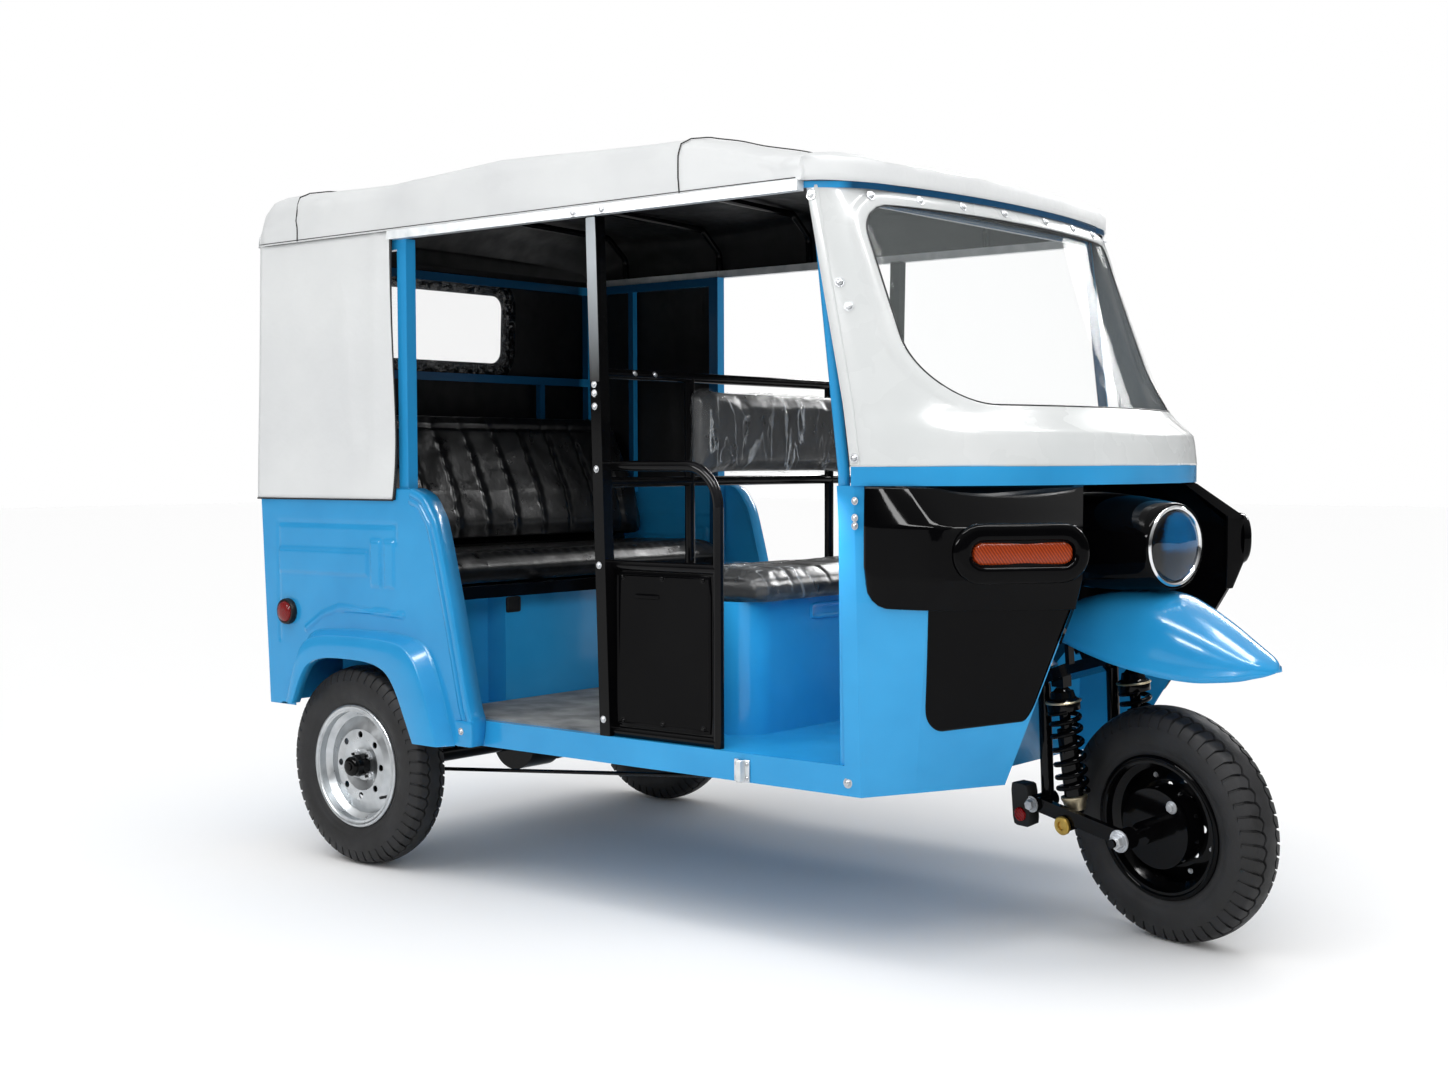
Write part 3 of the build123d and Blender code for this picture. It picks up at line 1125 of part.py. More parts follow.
def rear_window():
    """Clear film in the rear curtain's opening."""
    return rear_sheet(WINDOW_HALF + 20, WINDOW_LOW_Z - 20, WINDOW_HIGH_Z + 20, FABRIC + SEAT_GAP, 2) & window_cut(14)


# ---------------------------------------------------------------- small pieces
SIDE_LAMP = (REAR_AXLE_X - 263, 678)
TAIL_LAMP_Z = 880


def tail_lamps():
    """Round side lamps and two lamps on the rear wall."""
    shapes = []
    for side in (-1, 1):
        x, z = SIDE_LAMP
        lamp = rod((x, side * BODY_HALF_WIDTH, z), (x, side * (BODY_HALF_WIDTH + 20), z), 32)
        shapes.append(lamp)
        top = TAIL_LAMP_Z + 38
        wall_x = BODY_REAR_X + REAR_LEAN * (PANEL_TOP_Z - top) / (PANEL_TOP_Z - PANEL_FOOT_Z - 50) - SEAT_GAP
        shapes.append(block(wall_x - 30, wall_x, side * 470, side * 610, TAIL_LAMP_Z - 38, top))
    return shapes


def brake_rod():
    """Thin rod from the cross shaft under the driver's floor to the rear drum's lever, on the right."""
    rear_x, rear_z = BRAKE_ROD_REAR
    return rod((rear_x, BRAKE_ROD_Y, rear_z), (BRAKE_ROD_FRONT_X - 1, BRAKE_ROD_Y, BRAKE_ROD_FRONT_Z), 5)


def save_all():
    """Builds and writes every sub-part."""
    for side, name in ((-1, "rear_wheel_right"), (1, "rear_wheel_left")):
        rear_wheel(side, name)
    front_wheel()
    save("front_fork", turned(fork()))
    save("steering_stem", turned(steering_stem()))
    save("front_shocks", *[turned(shape) for shape in shocks()])
    save("front_mudguard", turned(mudguard()))
    save("headlamp_nacelle", turned(nacelle()))
    save("headlamp", turned(headlamp()))
    save("chassis_frame", chassis())
    save("rear_axle", rear_axle())
    save("leaf_springs", leaf_spring(-1), leaf_spring(1), *spring_hangers(-1), *spring_hangers(1))
    save("floor_pan", floor_pan())
    save("front_cowl", front_cowl())
    save("front_fairing", front_fairing())
    save("windshield", windshield())
    save("lamp_wings", *both_sides(lamp_wing()))
    save("turn_lamps", *both_sides(turn_lamp()))
    save("lower_panels", *both_sides(lower_panel()))
    save("dashboard", dashboard())
    save("centre_pillars", *both_sides(centre_pillar()))
    save("front_pillars", *front_pillars())
    save("side_guards", *both_sides(side_guard()))
    save("backrest_frame", backrest_frame())
    save("upper_frame", *upper_frame())
    save("roof_bows", *[roof_bow(x) for x in ROOF_BOWS])
    save("roof_rails", *roof_rails())
    save("rear_side_panels", *both_sides(rear_side_panel()))
    save("rear_wall", rear_wall())
    save("passenger_seat_box", passenger_seat_box())
    save("passenger_seat_frame", passenger_seat_frame())
    save("passenger_seat_cushion", passenger_seat_cushion())
    save("passenger_seat_back", passenger_seat_back())
    save("driver_seat_box", driver_seat_box())
    save("driver_seat_cushion", driver_seat_cushion())
    save("driver_backrest_pad", driver_backrest_pad())
    save("battery_pack", battery_pack())
    save("floor_mat", floor_mat())
    save("canopy_roof", canopy_roof())
    save("side_curtains", *both_sides(side_curtain()))
    save("rear_curtain", rear_curtain())
    save("rear_window", rear_window())
    save("tail_lamps", *tail_lamps())
    save("brake_rod", brake_rod())


save_all()
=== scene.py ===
"""Dresses the auto rickshaw: camera and light, finishes, and the pieces whose looks the solids leave out.

Metres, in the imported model's frame: +X forward, +Y to the vehicle's left, +Z up from the ground.
"""
import bmesh
import bpy
import json
from math import acos, asin, atan2, copysign, cos, exp, hypot, pi, radians, sin, sqrt
from mathutils import Matrix, Vector, noise


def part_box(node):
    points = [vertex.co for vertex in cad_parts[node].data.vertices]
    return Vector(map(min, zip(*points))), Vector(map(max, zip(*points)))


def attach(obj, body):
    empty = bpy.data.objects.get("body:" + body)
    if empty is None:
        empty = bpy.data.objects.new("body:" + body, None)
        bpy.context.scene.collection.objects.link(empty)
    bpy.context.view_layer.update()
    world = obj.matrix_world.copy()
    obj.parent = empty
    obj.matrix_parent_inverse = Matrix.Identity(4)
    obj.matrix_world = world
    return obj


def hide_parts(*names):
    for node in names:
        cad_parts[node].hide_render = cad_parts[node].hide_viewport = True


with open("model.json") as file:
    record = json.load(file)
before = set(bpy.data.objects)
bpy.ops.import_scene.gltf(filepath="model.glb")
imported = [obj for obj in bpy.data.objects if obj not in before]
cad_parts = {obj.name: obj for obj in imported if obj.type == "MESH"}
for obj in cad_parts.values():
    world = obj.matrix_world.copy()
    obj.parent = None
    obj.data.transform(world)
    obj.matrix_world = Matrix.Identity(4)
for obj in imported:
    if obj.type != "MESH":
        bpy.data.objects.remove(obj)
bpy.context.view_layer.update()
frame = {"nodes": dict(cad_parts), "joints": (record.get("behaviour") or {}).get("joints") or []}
nodes = frame["nodes"]
joints = {joint["name"]: joint for joint in frame["joints"]}

REAR_X = joints["rear_wheel_right_spin"]["pos_m"][0]      # rear axle
PILLAR_A = REAR_X + 1.625
PILLAR_B = REAR_X + 0.890
FRONT_X = REAR_X + 2.071                                  # front axle with the wheel straight ahead
AXIS_FOOT = Vector(joints["steering_turn"]["pos_m"])
AXIS = Vector(joints["steering_turn"]["axis"])
AXLE_Z = AXIS_FOOT.z
TURN = Matrix.Translation(AXIS_FOOT) @ Matrix.Rotation(radians(-15), 4, AXIS) @ Matrix.Translation(-AXIS_FOOT)
SIDES = ((-1, "right"), (1, "left"))
SIDEWAYS = Vector((0, 1, 0))


def axis_x(z):
    """Where the steering axis is at a height."""
    return AXIS_FOOT.x + (z - AXIS_FOOT.z) * AXIS.x / AXIS.z


def shown(name, data):
    """A new object in the scene."""
    made = bpy.data.objects.new(name, data)
    bpy.context.scene.collection.objects.link(made)
    return made


# ---------------------------------------------------------------- camera and light
def place_camera():
    ahead = Vector((-0.63066574, 0.77454721, -0.04834612))
    right = Vector((0.77554455, 0.6312853, -0.00308424))
    up = Vector((-0.0281313, 0.03943969, 0.99882588))
    camera = shown("camera", bpy.data.cameras.new("camera"))
    turn = Matrix((right, up, -ahead)).transposed().to_4x4()
    camera.matrix_world = Matrix.Translation((REAR_X + 3.85873, -3.80986, 1.08543)) @ turn
    camera.data.sensor_width, camera.data.lens = 36, 45.171
    camera.data.shift_y, camera.data.clip_end = 0.0055, 100
    bpy.context.scene.camera = camera


def pointed(light, ahead):
    light.rotation_mode = "QUATERNION"
    light.rotation_quaternion = ahead.to_track_quat("-Z", "Y")


def soft_light(name, place, aim, size, watts, shine=False):
    """A box lights the surfaces; with shine it is a bare strip that is only mirrored in them.

    Places are from the rear axle on the ground."""
    light = shown(name, bpy.data.lights.new(name, "AREA"))
    light.data.shape = "RECTANGLE"
    light.data.size, light.data.size_y = size
    light.data.energy = watts
    light.visible_glossy, light.visible_diffuse = shine, not shine
    light.visible_camera = False
    light.location = Vector(place) + Vector((REAR_X, 0, 0))
    pointed(light, Vector(aim) - Vector(place))


# ---------------------------------------------------------------- finishes
def linear(code):
    """An sRGB hex colour as linear light."""
    parts = [int(code[i:i + 2], 16) / 255 for i in (0, 2, 4)]
    return (*[p / 12.92 if p <= 0.04045 else ((p + 0.055) / 1.055) ** 2.4 for p in parts], 1.0)


def add(tree, kind, sockets=None, **settings):
    """Adds a shader node: settings are its properties, sockets its inputs, each a value or another node's output."""
    made = tree.nodes.new("ShaderNode" + kind)
    for key, value in settings.items():
        setattr(made, key, value)
    for key, value in (sockets or {}).items():
        if isinstance(value, bpy.types.NodeSocket):
            tree.links.new(value, made.inputs[key])
        else:
            made.inputs[key].default_value = value
    return made


def spread(tree, where, source, low=0, high=1):
    """How a source varies over a surface: it is a pattern, or blotches of (size in mm, detail) from low to high."""
    if callable(source):
        return source(tree, where)
    cloud = add(tree, "TexNoise", {"Vector": where, "Scale": 1000 / source[0], "Detail": source[1]})
    return add(tree, "MapRange", {"Value": cloud.outputs["Fac"], "From Min": 0.3, "From Max": 0.7, "To Min": low,
                                  "To Max": high}).outputs["Result"]


def surface(name, colour, rough, bumps=(), more=None):
    """A finish in the vehicle's own metres: colour is a hex value or (source, dark, light), rough a number or
    (source, low, high), bumps are rows of (source, depth in mm, strength), and more names other sockets."""
    material = bpy.data.materials.new(name)
    material.use_nodes = True
    tree = material.node_tree
    tree.nodes.clear()
    where = add(tree, "TexCoord").outputs["Object"]
    if isinstance(colour, str):
        tone = linear(colour)
    else:
        tone = add(tree, "Mix", {"Factor": spread(tree, where, colour[0]), 6: linear(colour[1]),
                                 7: linear(colour[2])}, data_type="RGBA").outputs[2]
    sockets = {"Base Color": tone, "Roughness": spread(tree, where, *rough) if isinstance(rough, tuple) else rough}
    for key, value in (more or {}).items():
        sockets[key] = value(tree, where) if callable(value) else value
    under = {}
    for source, depth_mm, strength in bumps:
        under = {"Normal": add(tree, "Bump", {"Height": spread(tree, where, source), "Distance": depth_mm / 1000,
                                              "Strength": strength, **under}).outputs["Normal"]}
    add(tree, "OutputMaterial", {"Surface": add(tree, "BsdfPrincipled", {**sockets, **under}).outputs[0]})
    return material


def ramp(tree, value, low, high, to_low=0.0, to_high=1.0):
    """A value between two limits, brought to a range of its own."""
    return add(tree, "MapRange", {"Value": value, "From Min": low, "From Max": high, "To Min": to_low,
                                  "To Max": to_high}).outputs["Result"]


def stripes(spacing_mm, direction):
    """A pattern of soft stripes."""
    return lambda tree, where: add(tree, "TexWave", {"Vector": where, "Scale": 314 / spacing_mm},
                                   bands_direction=direction).outputs["Fac"]


def product(first, second, operation="MULTIPLY"):
    return lambda tree, where: add(tree, "Math", {0: first(tree, where), 1: second(tree, where)},
                                   operation=operation).outputs[0]


def cells(size_mm):
    return lambda tree, where: add(tree, "TexVoronoi", {"Vector": where, "Scale": 1000 / size_mm}).outputs["Distance"]


def enamel(name, dark, light, rough, peel_mm, sheen):
    """Enamel sprayed on sheet steel: a clear glossy skin, a faint orange peel about 2 mm across and hand marks."""
    return surface(name, ((260, 3), dark, light), ((120, 3), *rough), [((2.2, 1), peel_mm, 1), ((90, 1), 0.4, 0.2)],
                   {"Specular IOR Level": sheen, "Coat Weight": sheen, "Coat Roughness": 0.06})


def lit_share_of_tubes(tree, where):
    """Where the tubes are shown lit: the outer tubes' outer faces; the inward faces and the tubes inside the body get
    painted shade.
    """
    side = add(tree, "SeparateXYZ", {"Vector": where}).outputs["Y"]
    facing = add(tree, "SeparateXYZ", {"Vector": add(tree, "NewGeometry").outputs["Normal"]}).outputs["Y"]
    away = add(tree, "Math", {0: side, 1: facing}, operation="MULTIPLY").outputs[0]
    width = add(tree, "Math", {0: side}, operation="ABSOLUTE").outputs[0]
    # 1 on the outer faces of the outer tubes, 0 where painted shade stands in for the shade inside the body
    return add(tree, "Math", {0: ramp(tree, away, -0.2, -0.02), 1: ramp(tree, width, 0.575, 0.60)},
               operation="MULTIPLY").outputs[0]


def from_above(tree, where):
    return ramp(tree, add(tree, "SeparateXYZ", {"Vector": where}).outputs["Z"], 1.28, 1.56)


def coated_cloth(name, dark, light, thread_mm, rough):
    """PVC-coated woven polyester: the weave just shows through the coat, drawn at 1.6 mm or more so that it reads."""
    weave = product(stripes(thread_mm, "X"), stripes(thread_mm, "Z"))
    return surface(name, ((300, 3), dark, light), ((60, 3), *rough), [(weave, 0.12, 0.5), ((150, 4), 5.0, 0.5)],
                   {"Specular IOR Level": 0.4})


def moulded(name, dark, light, rough, wave_mm, sheen):
    """Injection-moulded plastic: a polished skin with slow waves from the mould."""
    return surface(name, ((200, 3), dark, light), ((60, 3), *rough), [((120, 2), wave_mm, 0.4)],
                   {"Specular IOR Level": sheen})


def metal(name, dark, light, rough=(0.25, 0.42), scratch_mm=0.9):
    """Plated, painted or drawn metal: fine lengthways scratches and cloudy patches."""
    def scratches(tree, where):
        long = add(tree, "Mapping", {"Vector": where, "Scale": (1, 14, 14)}).outputs["Vector"]
        return spread(tree, long, (scratch_mm * 14, 2))
    return surface(name, ((40, 3), dark, light), ((25, 3), *rough), [(scratches, 0.05, 0.4)], {"Metallic": 1.0})


def clear_sheet(name, tint, rough, wave_mm):
    """Cast acrylic or PVC film: clear, seen by its reflections and a faint tint."""
    return surface(name, tint, rough, [((140, 2), wave_mm, 0.5)], {"Alpha": 0.06, "IOR": 1.49})


def lamp_lens(name, dark, light, rib_mm):
    """Moulded acrylic lens with prism ribs standing across it."""
    ribs = stripes(rib_mm, "DIAGONAL")
    return surface(name, (ribs, dark, light), 0.14, [(ribs, 0.8, 0.7), (cells(rib_mm * 1.5), 0.4, 0.4)],
                   {"Specular IOR Level": 0.22, "Coat Weight": 0.2, "Coat Roughness": 0.03})


def creases(tree, where):
    """Sharp, mostly upright creases, where a stretched noise crosses its middle value."""
    tall = add(tree, "Mapping", {"Vector": where, "Scale": (1, 1.7, 0.38), "Rotation": (0.4, 0, 0)}).outputs["Vector"]
    bend = add(tree, "TexNoise", {"Vector": tall, "Scale": 8, "Detail": 2, "Distortion": 0.9}).outputs["Fac"]
    away = add(tree, "Math", {0: bend, 1: 0.5}, operation="SUBTRACT").outputs[0]
    return ramp(tree, add(tree, "Math", {0: away}, operation="ABSOLUTE").outputs[0], 0.024, 0.0)


def painted_crease_highlights(tree, where):
    """How much of the wrap is seen: painted highlights in white along its creases, in patches."""
    seen = product(creases, lambda tree, where: spread(tree, where, (130, 2)))(tree, where)
    return ramp(tree, seen, 0, 1, 0.035, 0.55)


BLUE = enamel("blue_enamel", "2590cb", "2f9dd8", (0.14, 0.26), 0.06, 0.26)
WHITE_SHELL = enamel("white_gelcoat", "d0d3d3", "dadcdc", (0.2, 0.34), 0.04, 0.25)
# Grey flowcoat on the shell's back, made darker as painted shade for the inside of the fairing.
SHELL_BACK_AND_PAINTED_SHADE = enamel("grey_flowcoat_behind_the_shell", "505558", "6c7275", (0.3, 0.45), 0.3, 0.3)
BLACK_COAT = enamel("black_powder_coat", "040405", "0a0a0b", (0.07, 0.13), 0.03, 0.10)
# Enamel with painted shade: full blue on the outer tubes' outer faces, painted dark on inward faces and on the tubes
# under the roof, where shade falls.
BLUE_FRAME_PAINTED_SHADE = surface("blue_enamel_on_the_frame_tubes", (lit_share_of_tubes, "0f4468", "2b97d3"), 0.2, [((2.2, 1), 0.06, 1)],
                     {"Specular IOR Level": 0.3, "Coat Weight": 0.3, "Coat Roughness": 0.06})
# Steel cover: silver at the head, darker towards the foot, black below.
PILLAR_FADE = surface("silver_sprayed_pillar_cover", (from_above, "0c0c0d", "b8bfc4"), 0.3, [((60, 3), 0.3, 0.3)],
                      {"Coat Weight": 0.3})
BLACK_GLOSS = moulded("gloss_black_abs", "030304", "060607", (0.04, 0.08), 0.6, 0.08)
BLACK_MATT = moulded("matt_black_polypropylene", "0e0e0f", "17181a", (0.4, 0.55), 0.3, 0.3)
DIAL = moulded("smoked_dial_glass", "0b0d0f", "14181b", (0.03, 0.06), 0.1, 0.5)
CANOPY = coated_cloth("white_pvc_canopy_cloth", "d9dbdc", "e3e5e5", 1.6, (0.42, 0.6))
LINING = coated_cloth("black_canopy_lining", "050506", "0c0d0f", 2.0, (0.55, 0.75))
# Calendered vinyl leathercloth: a pebbled grain of about 2.5 mm with a waxy sheen.
VINYL = surface("black_vinyl_leathercloth", ((180, 3), "08090a", "121315"), ((45, 3), 0.26, 0.42),
                [(cells(2.5), 0.18, 0.5), ((70, 3), 3.0, 0.4)])
# Black PVC film gathered under its binding: wet-looking, with sharp bright creases about 25 mm apart.
GATHERED = surface("gathered_black_film", "08090a", 0.1, [((26, 2), 9.0, 0.9)], {"Coat Weight": 0.6})
# Vulcanised rubber: matt with a brownish bloom, greyer and duller in patches.
RUBBER = surface("tyre_rubber", ((60, 3), "0e0e0e", "1d1d20"), ((30, 3), 0.5, 0.7), [((3.0, 4), 0.3, 0.6)],
                 {"Specular IOR Level": 0.45})
# Extruded rubber matting: ribs 8 mm apart along the vehicle, dusty grey in patches.
MAT = surface("ribbed_rubber_mat", ((90, 3), "5c5e5e", "989a99"), 0.62, [(stripes(8, "Y"), 2.0, 0.8)])
SILVER_PAINT = metal("silver_wheel_paint", "b2b6b9", "cdd0d2", (0.26, 0.4), 2.0)
ZINC = metal("zinc_plated_steel", "b0b2b5", "d6d8da", (0.34, 0.5))
ALUMINIUM = metal("mill_aluminium", "cdd1d3", "e6e8e9", (0.5, 0.62))
CHROME = metal("chrome_plate", "d8dadc", "eceef0", (0.04, 0.1))
BRASS = metal("yellow_zinc_steel", "b08f42", "dcbd70", (0.3, 0.45))
CHAMPAGNE = metal("champagne_anodised_aluminium", "a89b80", "d2c5a8", (0.34, 0.5))
REFLECTOR = metal("vacuum_plated_reflector", "c8d4dc", "f2f6f8", (0.06, 0.14))
GLASS = clear_sheet("acrylic_windscreen", "dfe8e8", 0.03, 0.4)
FILM = clear_sheet("clear_pvc_film", "e8ecee", 0.12, 1.5)
AMBER = lamp_lens("amber_acrylic_lens", "6e2208", "a03c12", 5)
RED = lamp_lens("red_acrylic_lens", "480203", "980508", 4)
# Pressed glass with a blue tint right through it and slow ripples across.
LENS_BLUE = surface("blue_tinted_lens", "3396bc", 0.03, [((45, 0), 0.8, 0.4)], {"Transmission Weight": 1.0})
# Thin clear wrapping film: nearly unseen where it lies flat, with painted highlights in white along its sharp, mostly
# upright creases.
FILM_WRAP_PAINTED_HIGHLIGHTS = surface("creased_clear_wrap", "dfe3e5", 0.14, [(creases, 2.0, 0.8)], {"Alpha": painted_crease_highlights, "IOR": 1.49})

for finish, names in (
        (BLACK_COAT, "chassis_frame rear_axle leaf_springs brake_rod roof_bows passenger_seat_frame centre_pillars "
                     "side_guards backrest_frame front_fork steering_stem front_wheel_rim rear_wheel_right_hub "
                     "rear_wheel_left_hub front_wheel_hub front_shocks"),
        (BLUE, "floor_pan front_cowl rear_side_panels rear_wall passenger_seat_box driver_seat_box front_mudguard"),
        (BLUE_FRAME_PAINTED_SHADE, "upper_frame front_pillars"), (BLACK_MATT, "dashboard battery_pack"),
        (BLACK_GLOSS, "headlamp_nacelle lamp_wings lower_panels"), (WHITE_SHELL, "front_fairing"),
        (CANOPY, "canopy_roof side_curtains rear_curtain"), (ALUMINIUM, "roof_rails"), (MAT, "floor_mat"),
        (VINYL, "passenger_seat_cushion passenger_seat_back driver_seat_cushion driver_backrest_pad"),
        (SILVER_PAINT, "rear_wheel_right_rim rear_wheel_left_rim"), (GLASS, "windshield"), (FILM, "rear_window"),
        (RED, "tail_lamps"), (AMBER, "turn_lamps"), (CHROME, "headlamp"),
        (RUBBER, "front_wheel_tyre rear_wheel_right_tyre rear_wheel_left_tyre")):
    for name in names.split():
        nodes[name].data.materials.clear()
        nodes[name].data.materials.append(finish)
place_camera()


# ---------------------------------------------------------------- mesh tools
def together(parts):
    """One set of points and faces from several."""
    points, faces = [], []
    for more, quads in parts:
        faces += [tuple(i + len(points) for i in quad) for quad in quads]
        points += list(more)
    return points, faces


def piece(name, mesh, body, finish, crease=40, wall=0, out=None, stands_for=None):
    """A new object from points and faces, or from several such sets.

    crease is the angle in degrees above which an edge stays sharp; out is "all" for a closed form, or the way that
    an open one faces; with two finishes the second is on the inside of the wall; stands_for is the CAD node."""
    points, faces = together(mesh) if isinstance(mesh, list) else mesh
    place = TURN if body in ("steering", "front_wheel") else Matrix.Identity(4)
    data = bpy.data.meshes.new(name)
    data.from_pydata([place @ Vector(p) for p in points], [], faces)
    made = shown(name, data)
    finishes = finish if isinstance(finish, list) else [finish]
    for one in finishes:
        data.materials.append(one)
    smooth(data)
    if crease is not None:
        data.set_sharp_from_angle(angle=radians(crease))
    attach(made, body)
    if out == "all":
        work = bmesh.new()
        work.from_mesh(data)
        bmesh.ops.recalc_face_normals(work, faces=work.faces)
        work.to_mesh(data)
        work.free()
    elif out and sum(face.normal.dot(out) * face.area for face in data.polygons) < 0:
        data.flip_normals()
    if wall:
        solid = made.modifiers.new("wall", "SOLIDIFY")
        solid.thickness, solid.offset, solid.material_offset = wall, -1, len(finishes) - 1
    if stands_for:
        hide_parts(stands_for)
    return made


def smooth(data):
    data.polygons.foreach_set("use_smooth", [True] * len(data.polygons))


def grid(points, columns, ring=False, flip=False):
    """A sheet of quads over rows of points; a ring joins its last column to its first."""
    faces = [(r + c, r + (c + 1) % columns, r + columns + (c + 1) % columns, r + columns + c)
             for r in range(0, len(points) - columns, columns) for c in range(columns if ring else columns - 1)]
    return points, [face[::-1] for face in faces] if flip else faces


def ends(mesh, columns, first=True, last=True, flip=False):
    """Closes a ring sheet at its first or last row."""
    points, faces = mesh
    total = len(points)
    caps = [tuple(range(columns))[::-1]] * first + [tuple(range(total - columns, total))] * last
    return points, faces + [cap[::-1] if flip else cap for cap in caps]


def rounded(made):
    swell = made.modifiers.new("round", "SUBSURF")
    swell.levels = swell.render_levels = 1
    return made


def clamp(value, low=0, high=1):
    return min(high, max(low, value))


def flowing(rows, share):
    """A smooth curve through a table's rows, share of the way along it."""
    t = share * (len(rows) - 1)
    i = clamp(int(t), 0, len(rows) - 2)
    f = t - i
    four = [rows[clamp(k, 0, len(rows) - 1)] for k in (i - 1, i, i + 1, i + 2)]
    return [0.5 * (2 * b + (c - a) * f + (2 * a - 5 * b + 4 * c - d) * f * f + (3 * b - a - 3 * c + d) * f ** 3)
            for a, b, c, d in zip(*four)]


def straight_at(table, key):
    """A row of a table, in straight lines between its rows, for a value of its first column."""
    key = clamp(key, table[0][0], table[-1][0])
    for low, high in zip(table, table[1:]):
        if low[0] <= key <= high[0]:
            share = (key - low[0]) / (high[0] - low[0])
            return [a + (b - a) * share for a, b in zip(low, high)]


def circle(centre, a, b, radius, around):
    turns = [2 * pi * k / around for k in range(around)]
    return [centre + (a * cos(turn) + b * sin(turn)) * radius for turn in turns]


def tube_mesh(path, radius, around=8, loop=False):
    """A tube along a path, without twist; radius may be one number or one per point."""
    path = [Vector(p) for p in path]
    points, side = [], None
    for i, centre in enumerate(path):
        ahead = (path[min(i + 1, len(path) - 1)] - path[max(i - 1, 0)]).normalized()
        side = side or ahead.orthogonal().normalized()
        side = (side - ahead * side.dot(ahead)).normalized()
        points += circle(centre, side, ahead.cross(side), radius[i] if isinstance(radius, list) else radius, around)
    if loop:
        last = len(points) - around
        points, faces = grid(points, around, ring=True, flip=True)
        return points, faces + [(last + (k + 1) % around, (k + 1) % around, k, last + k) for k in range(around)]
    return ends(grid(points, around, ring=True, flip=True), around, flip=True)


def turned_mesh(profile, centre, axis, around=32):
    """A solid of revolution; profile rows are (distance along the axis, radius)."""
    axis = Vector(axis).normalized()
    a = axis.orthogonal().normalized()
    points = []
    for along, radius in profile:
        points += circle(Vector(centre) + axis * along, a, axis.cross(a), radius, around)
    return ends(grid(points, around, ring=True), around)


# profiles of a fastener's head: (height, radius), both in head radii
DOME_HEAD = [(0, 1.0), (0.25, 1.0), (0.55, 0.82), (0.72, 0.45), (0.75, 0.05)]
HEX_HEAD = [(0, 1.35), (0.18, 1.35), (0.18, 1.0), (0.85, 1.0), (0.98, 0.85), (1.0, 0.05)]


def head_mesh(place, normal, radius, hexagon=False):
    """A washer and a domed or six-sided head."""
    brim = radius * 1.55
    washer = turned_mesh([(0, brim), (radius * 0.16, brim), (radius * 0.18, 0.001)], place, normal, 16)
    rest = Vector(place) + Vector(normal).normalized() * radius * 0.16
    table = HEX_HEAD if hexagon else DOME_HEAD
    return together([washer, turned_mesh([(a * radius, b * radius) for a, b in table], rest, normal,
                                         6 if hexagon else 12)])


def rounded_loop(width, height, corner, per_side=14, upper=None):
    """Points round a rounded rectangle from the middle of the lower left corner, the same number on every side.

    The upper corners' radius may differ."""
    loop = []
    upper = corner if upper is None else upper
    for side, (first, last) in enumerate(((corner, corner), (corner, upper), (upper, upper), (upper, corner))):
        length, depth = (width, height / 2) if side % 2 == 0 else (height, width / 2)
        straight, arc = length - first - last, first * pi / 4
        total = straight + arc + last * pi / 4
        for k in range(per_side):
            d = total * k / per_side
            if d < arc:
                turn = d / first - pi / 4
                x, y = first - length / 2 + first * sin(turn), first * (1 - cos(turn)) - depth
            elif d <= arc + straight:
                x, y = first - length / 2 + d - arc, -depth
            else:
                turn = (d - arc - straight) / last
                x, y = length / 2 - last + last * sin(turn), last * (1 - cos(turn)) - depth
            for _ in range(side):
                x, y = -y, x
            loop.append((x, y))
    return loop


def box_loop(half, low, high, per_side, gather=0):
    """Points round a box from its lower left corner; gather draws those of the level sides to the corners."""
    corners = [(-half, low), (half, low), (half, high), (-half, high)]
    loop = []
    for side in range(4):
        (a, b), (c, d) = corners[side], corners[(side + 1) % 4]
        for share in [k / per_side for k in range(per_side)]:
            if side % 2 == 0:
                share += gather * (0.25 - 0.5 * share - 0.25 * cos(pi * share))
            loop.append((a + (c - a) * share, b + (d - b) * share))
    return loop


def rings_between(inner, outer, steps):
    return [(a + (c - a) * k / steps, b + (d - b) * k / steps) for k in range(1, steps + 1)
            for (a, b), (c, d) in zip(inner, outer)]


def plate_mesh(place, size, corner, rings, per_side=8, least=0.0004, flip=False):
    """A pressed plate: place(u, v, w) puts a point, rings are (inset, height), the last one closed."""
    points = []
    for inset, height in rings:
        points += [place(u, v, height) for u, v in rounded_loop(size[0] - 2 * inset, size[1] - 2 * inset,
                                                                max(corner - inset, least), per_side)]
    return ends(grid(points, 4 * per_side, ring=True, flip=flip), 4 * per_side, first=False, flip=flip)


# ---------------------------------------------------------------- tyres
TYRE_RADIUS, TYRE_HALF, CROWN = 0.270, 0.056, 0.090
BULGE = (0.2048, TYRE_HALF)                               # widest point of the sidewall: radius, half width
LUG_PITCHES = 52
# across one half of the tread: distance from the middle (mm), kind of row, how far the zigzag moves it (mm)
TREAD_ROWS = [(0, "rib", 0), (7, "rib", 1), (13, "rib", 3), (16.5, "rib", 4), (18, "groove", 4), (21, "groove", 4),
              (22.5, "lug", 4), (29, "lug", 1), (36, "lug", 0), (42, "lug", 0)]
# across one pitch: share of the pitch and whether it lies in the groove between two lugs
PITCH_COLUMNS = [(-0.02, False), (0.02, True), (0.15, True), (0.19, False), (0.40, False), (0.60, False), (0.80, False)]
GROOVE = 0.0065


def crown_radius(y):
    return TYRE_RADIUS - CROWN + sqrt(CROWN ** 2 - y ** 2)


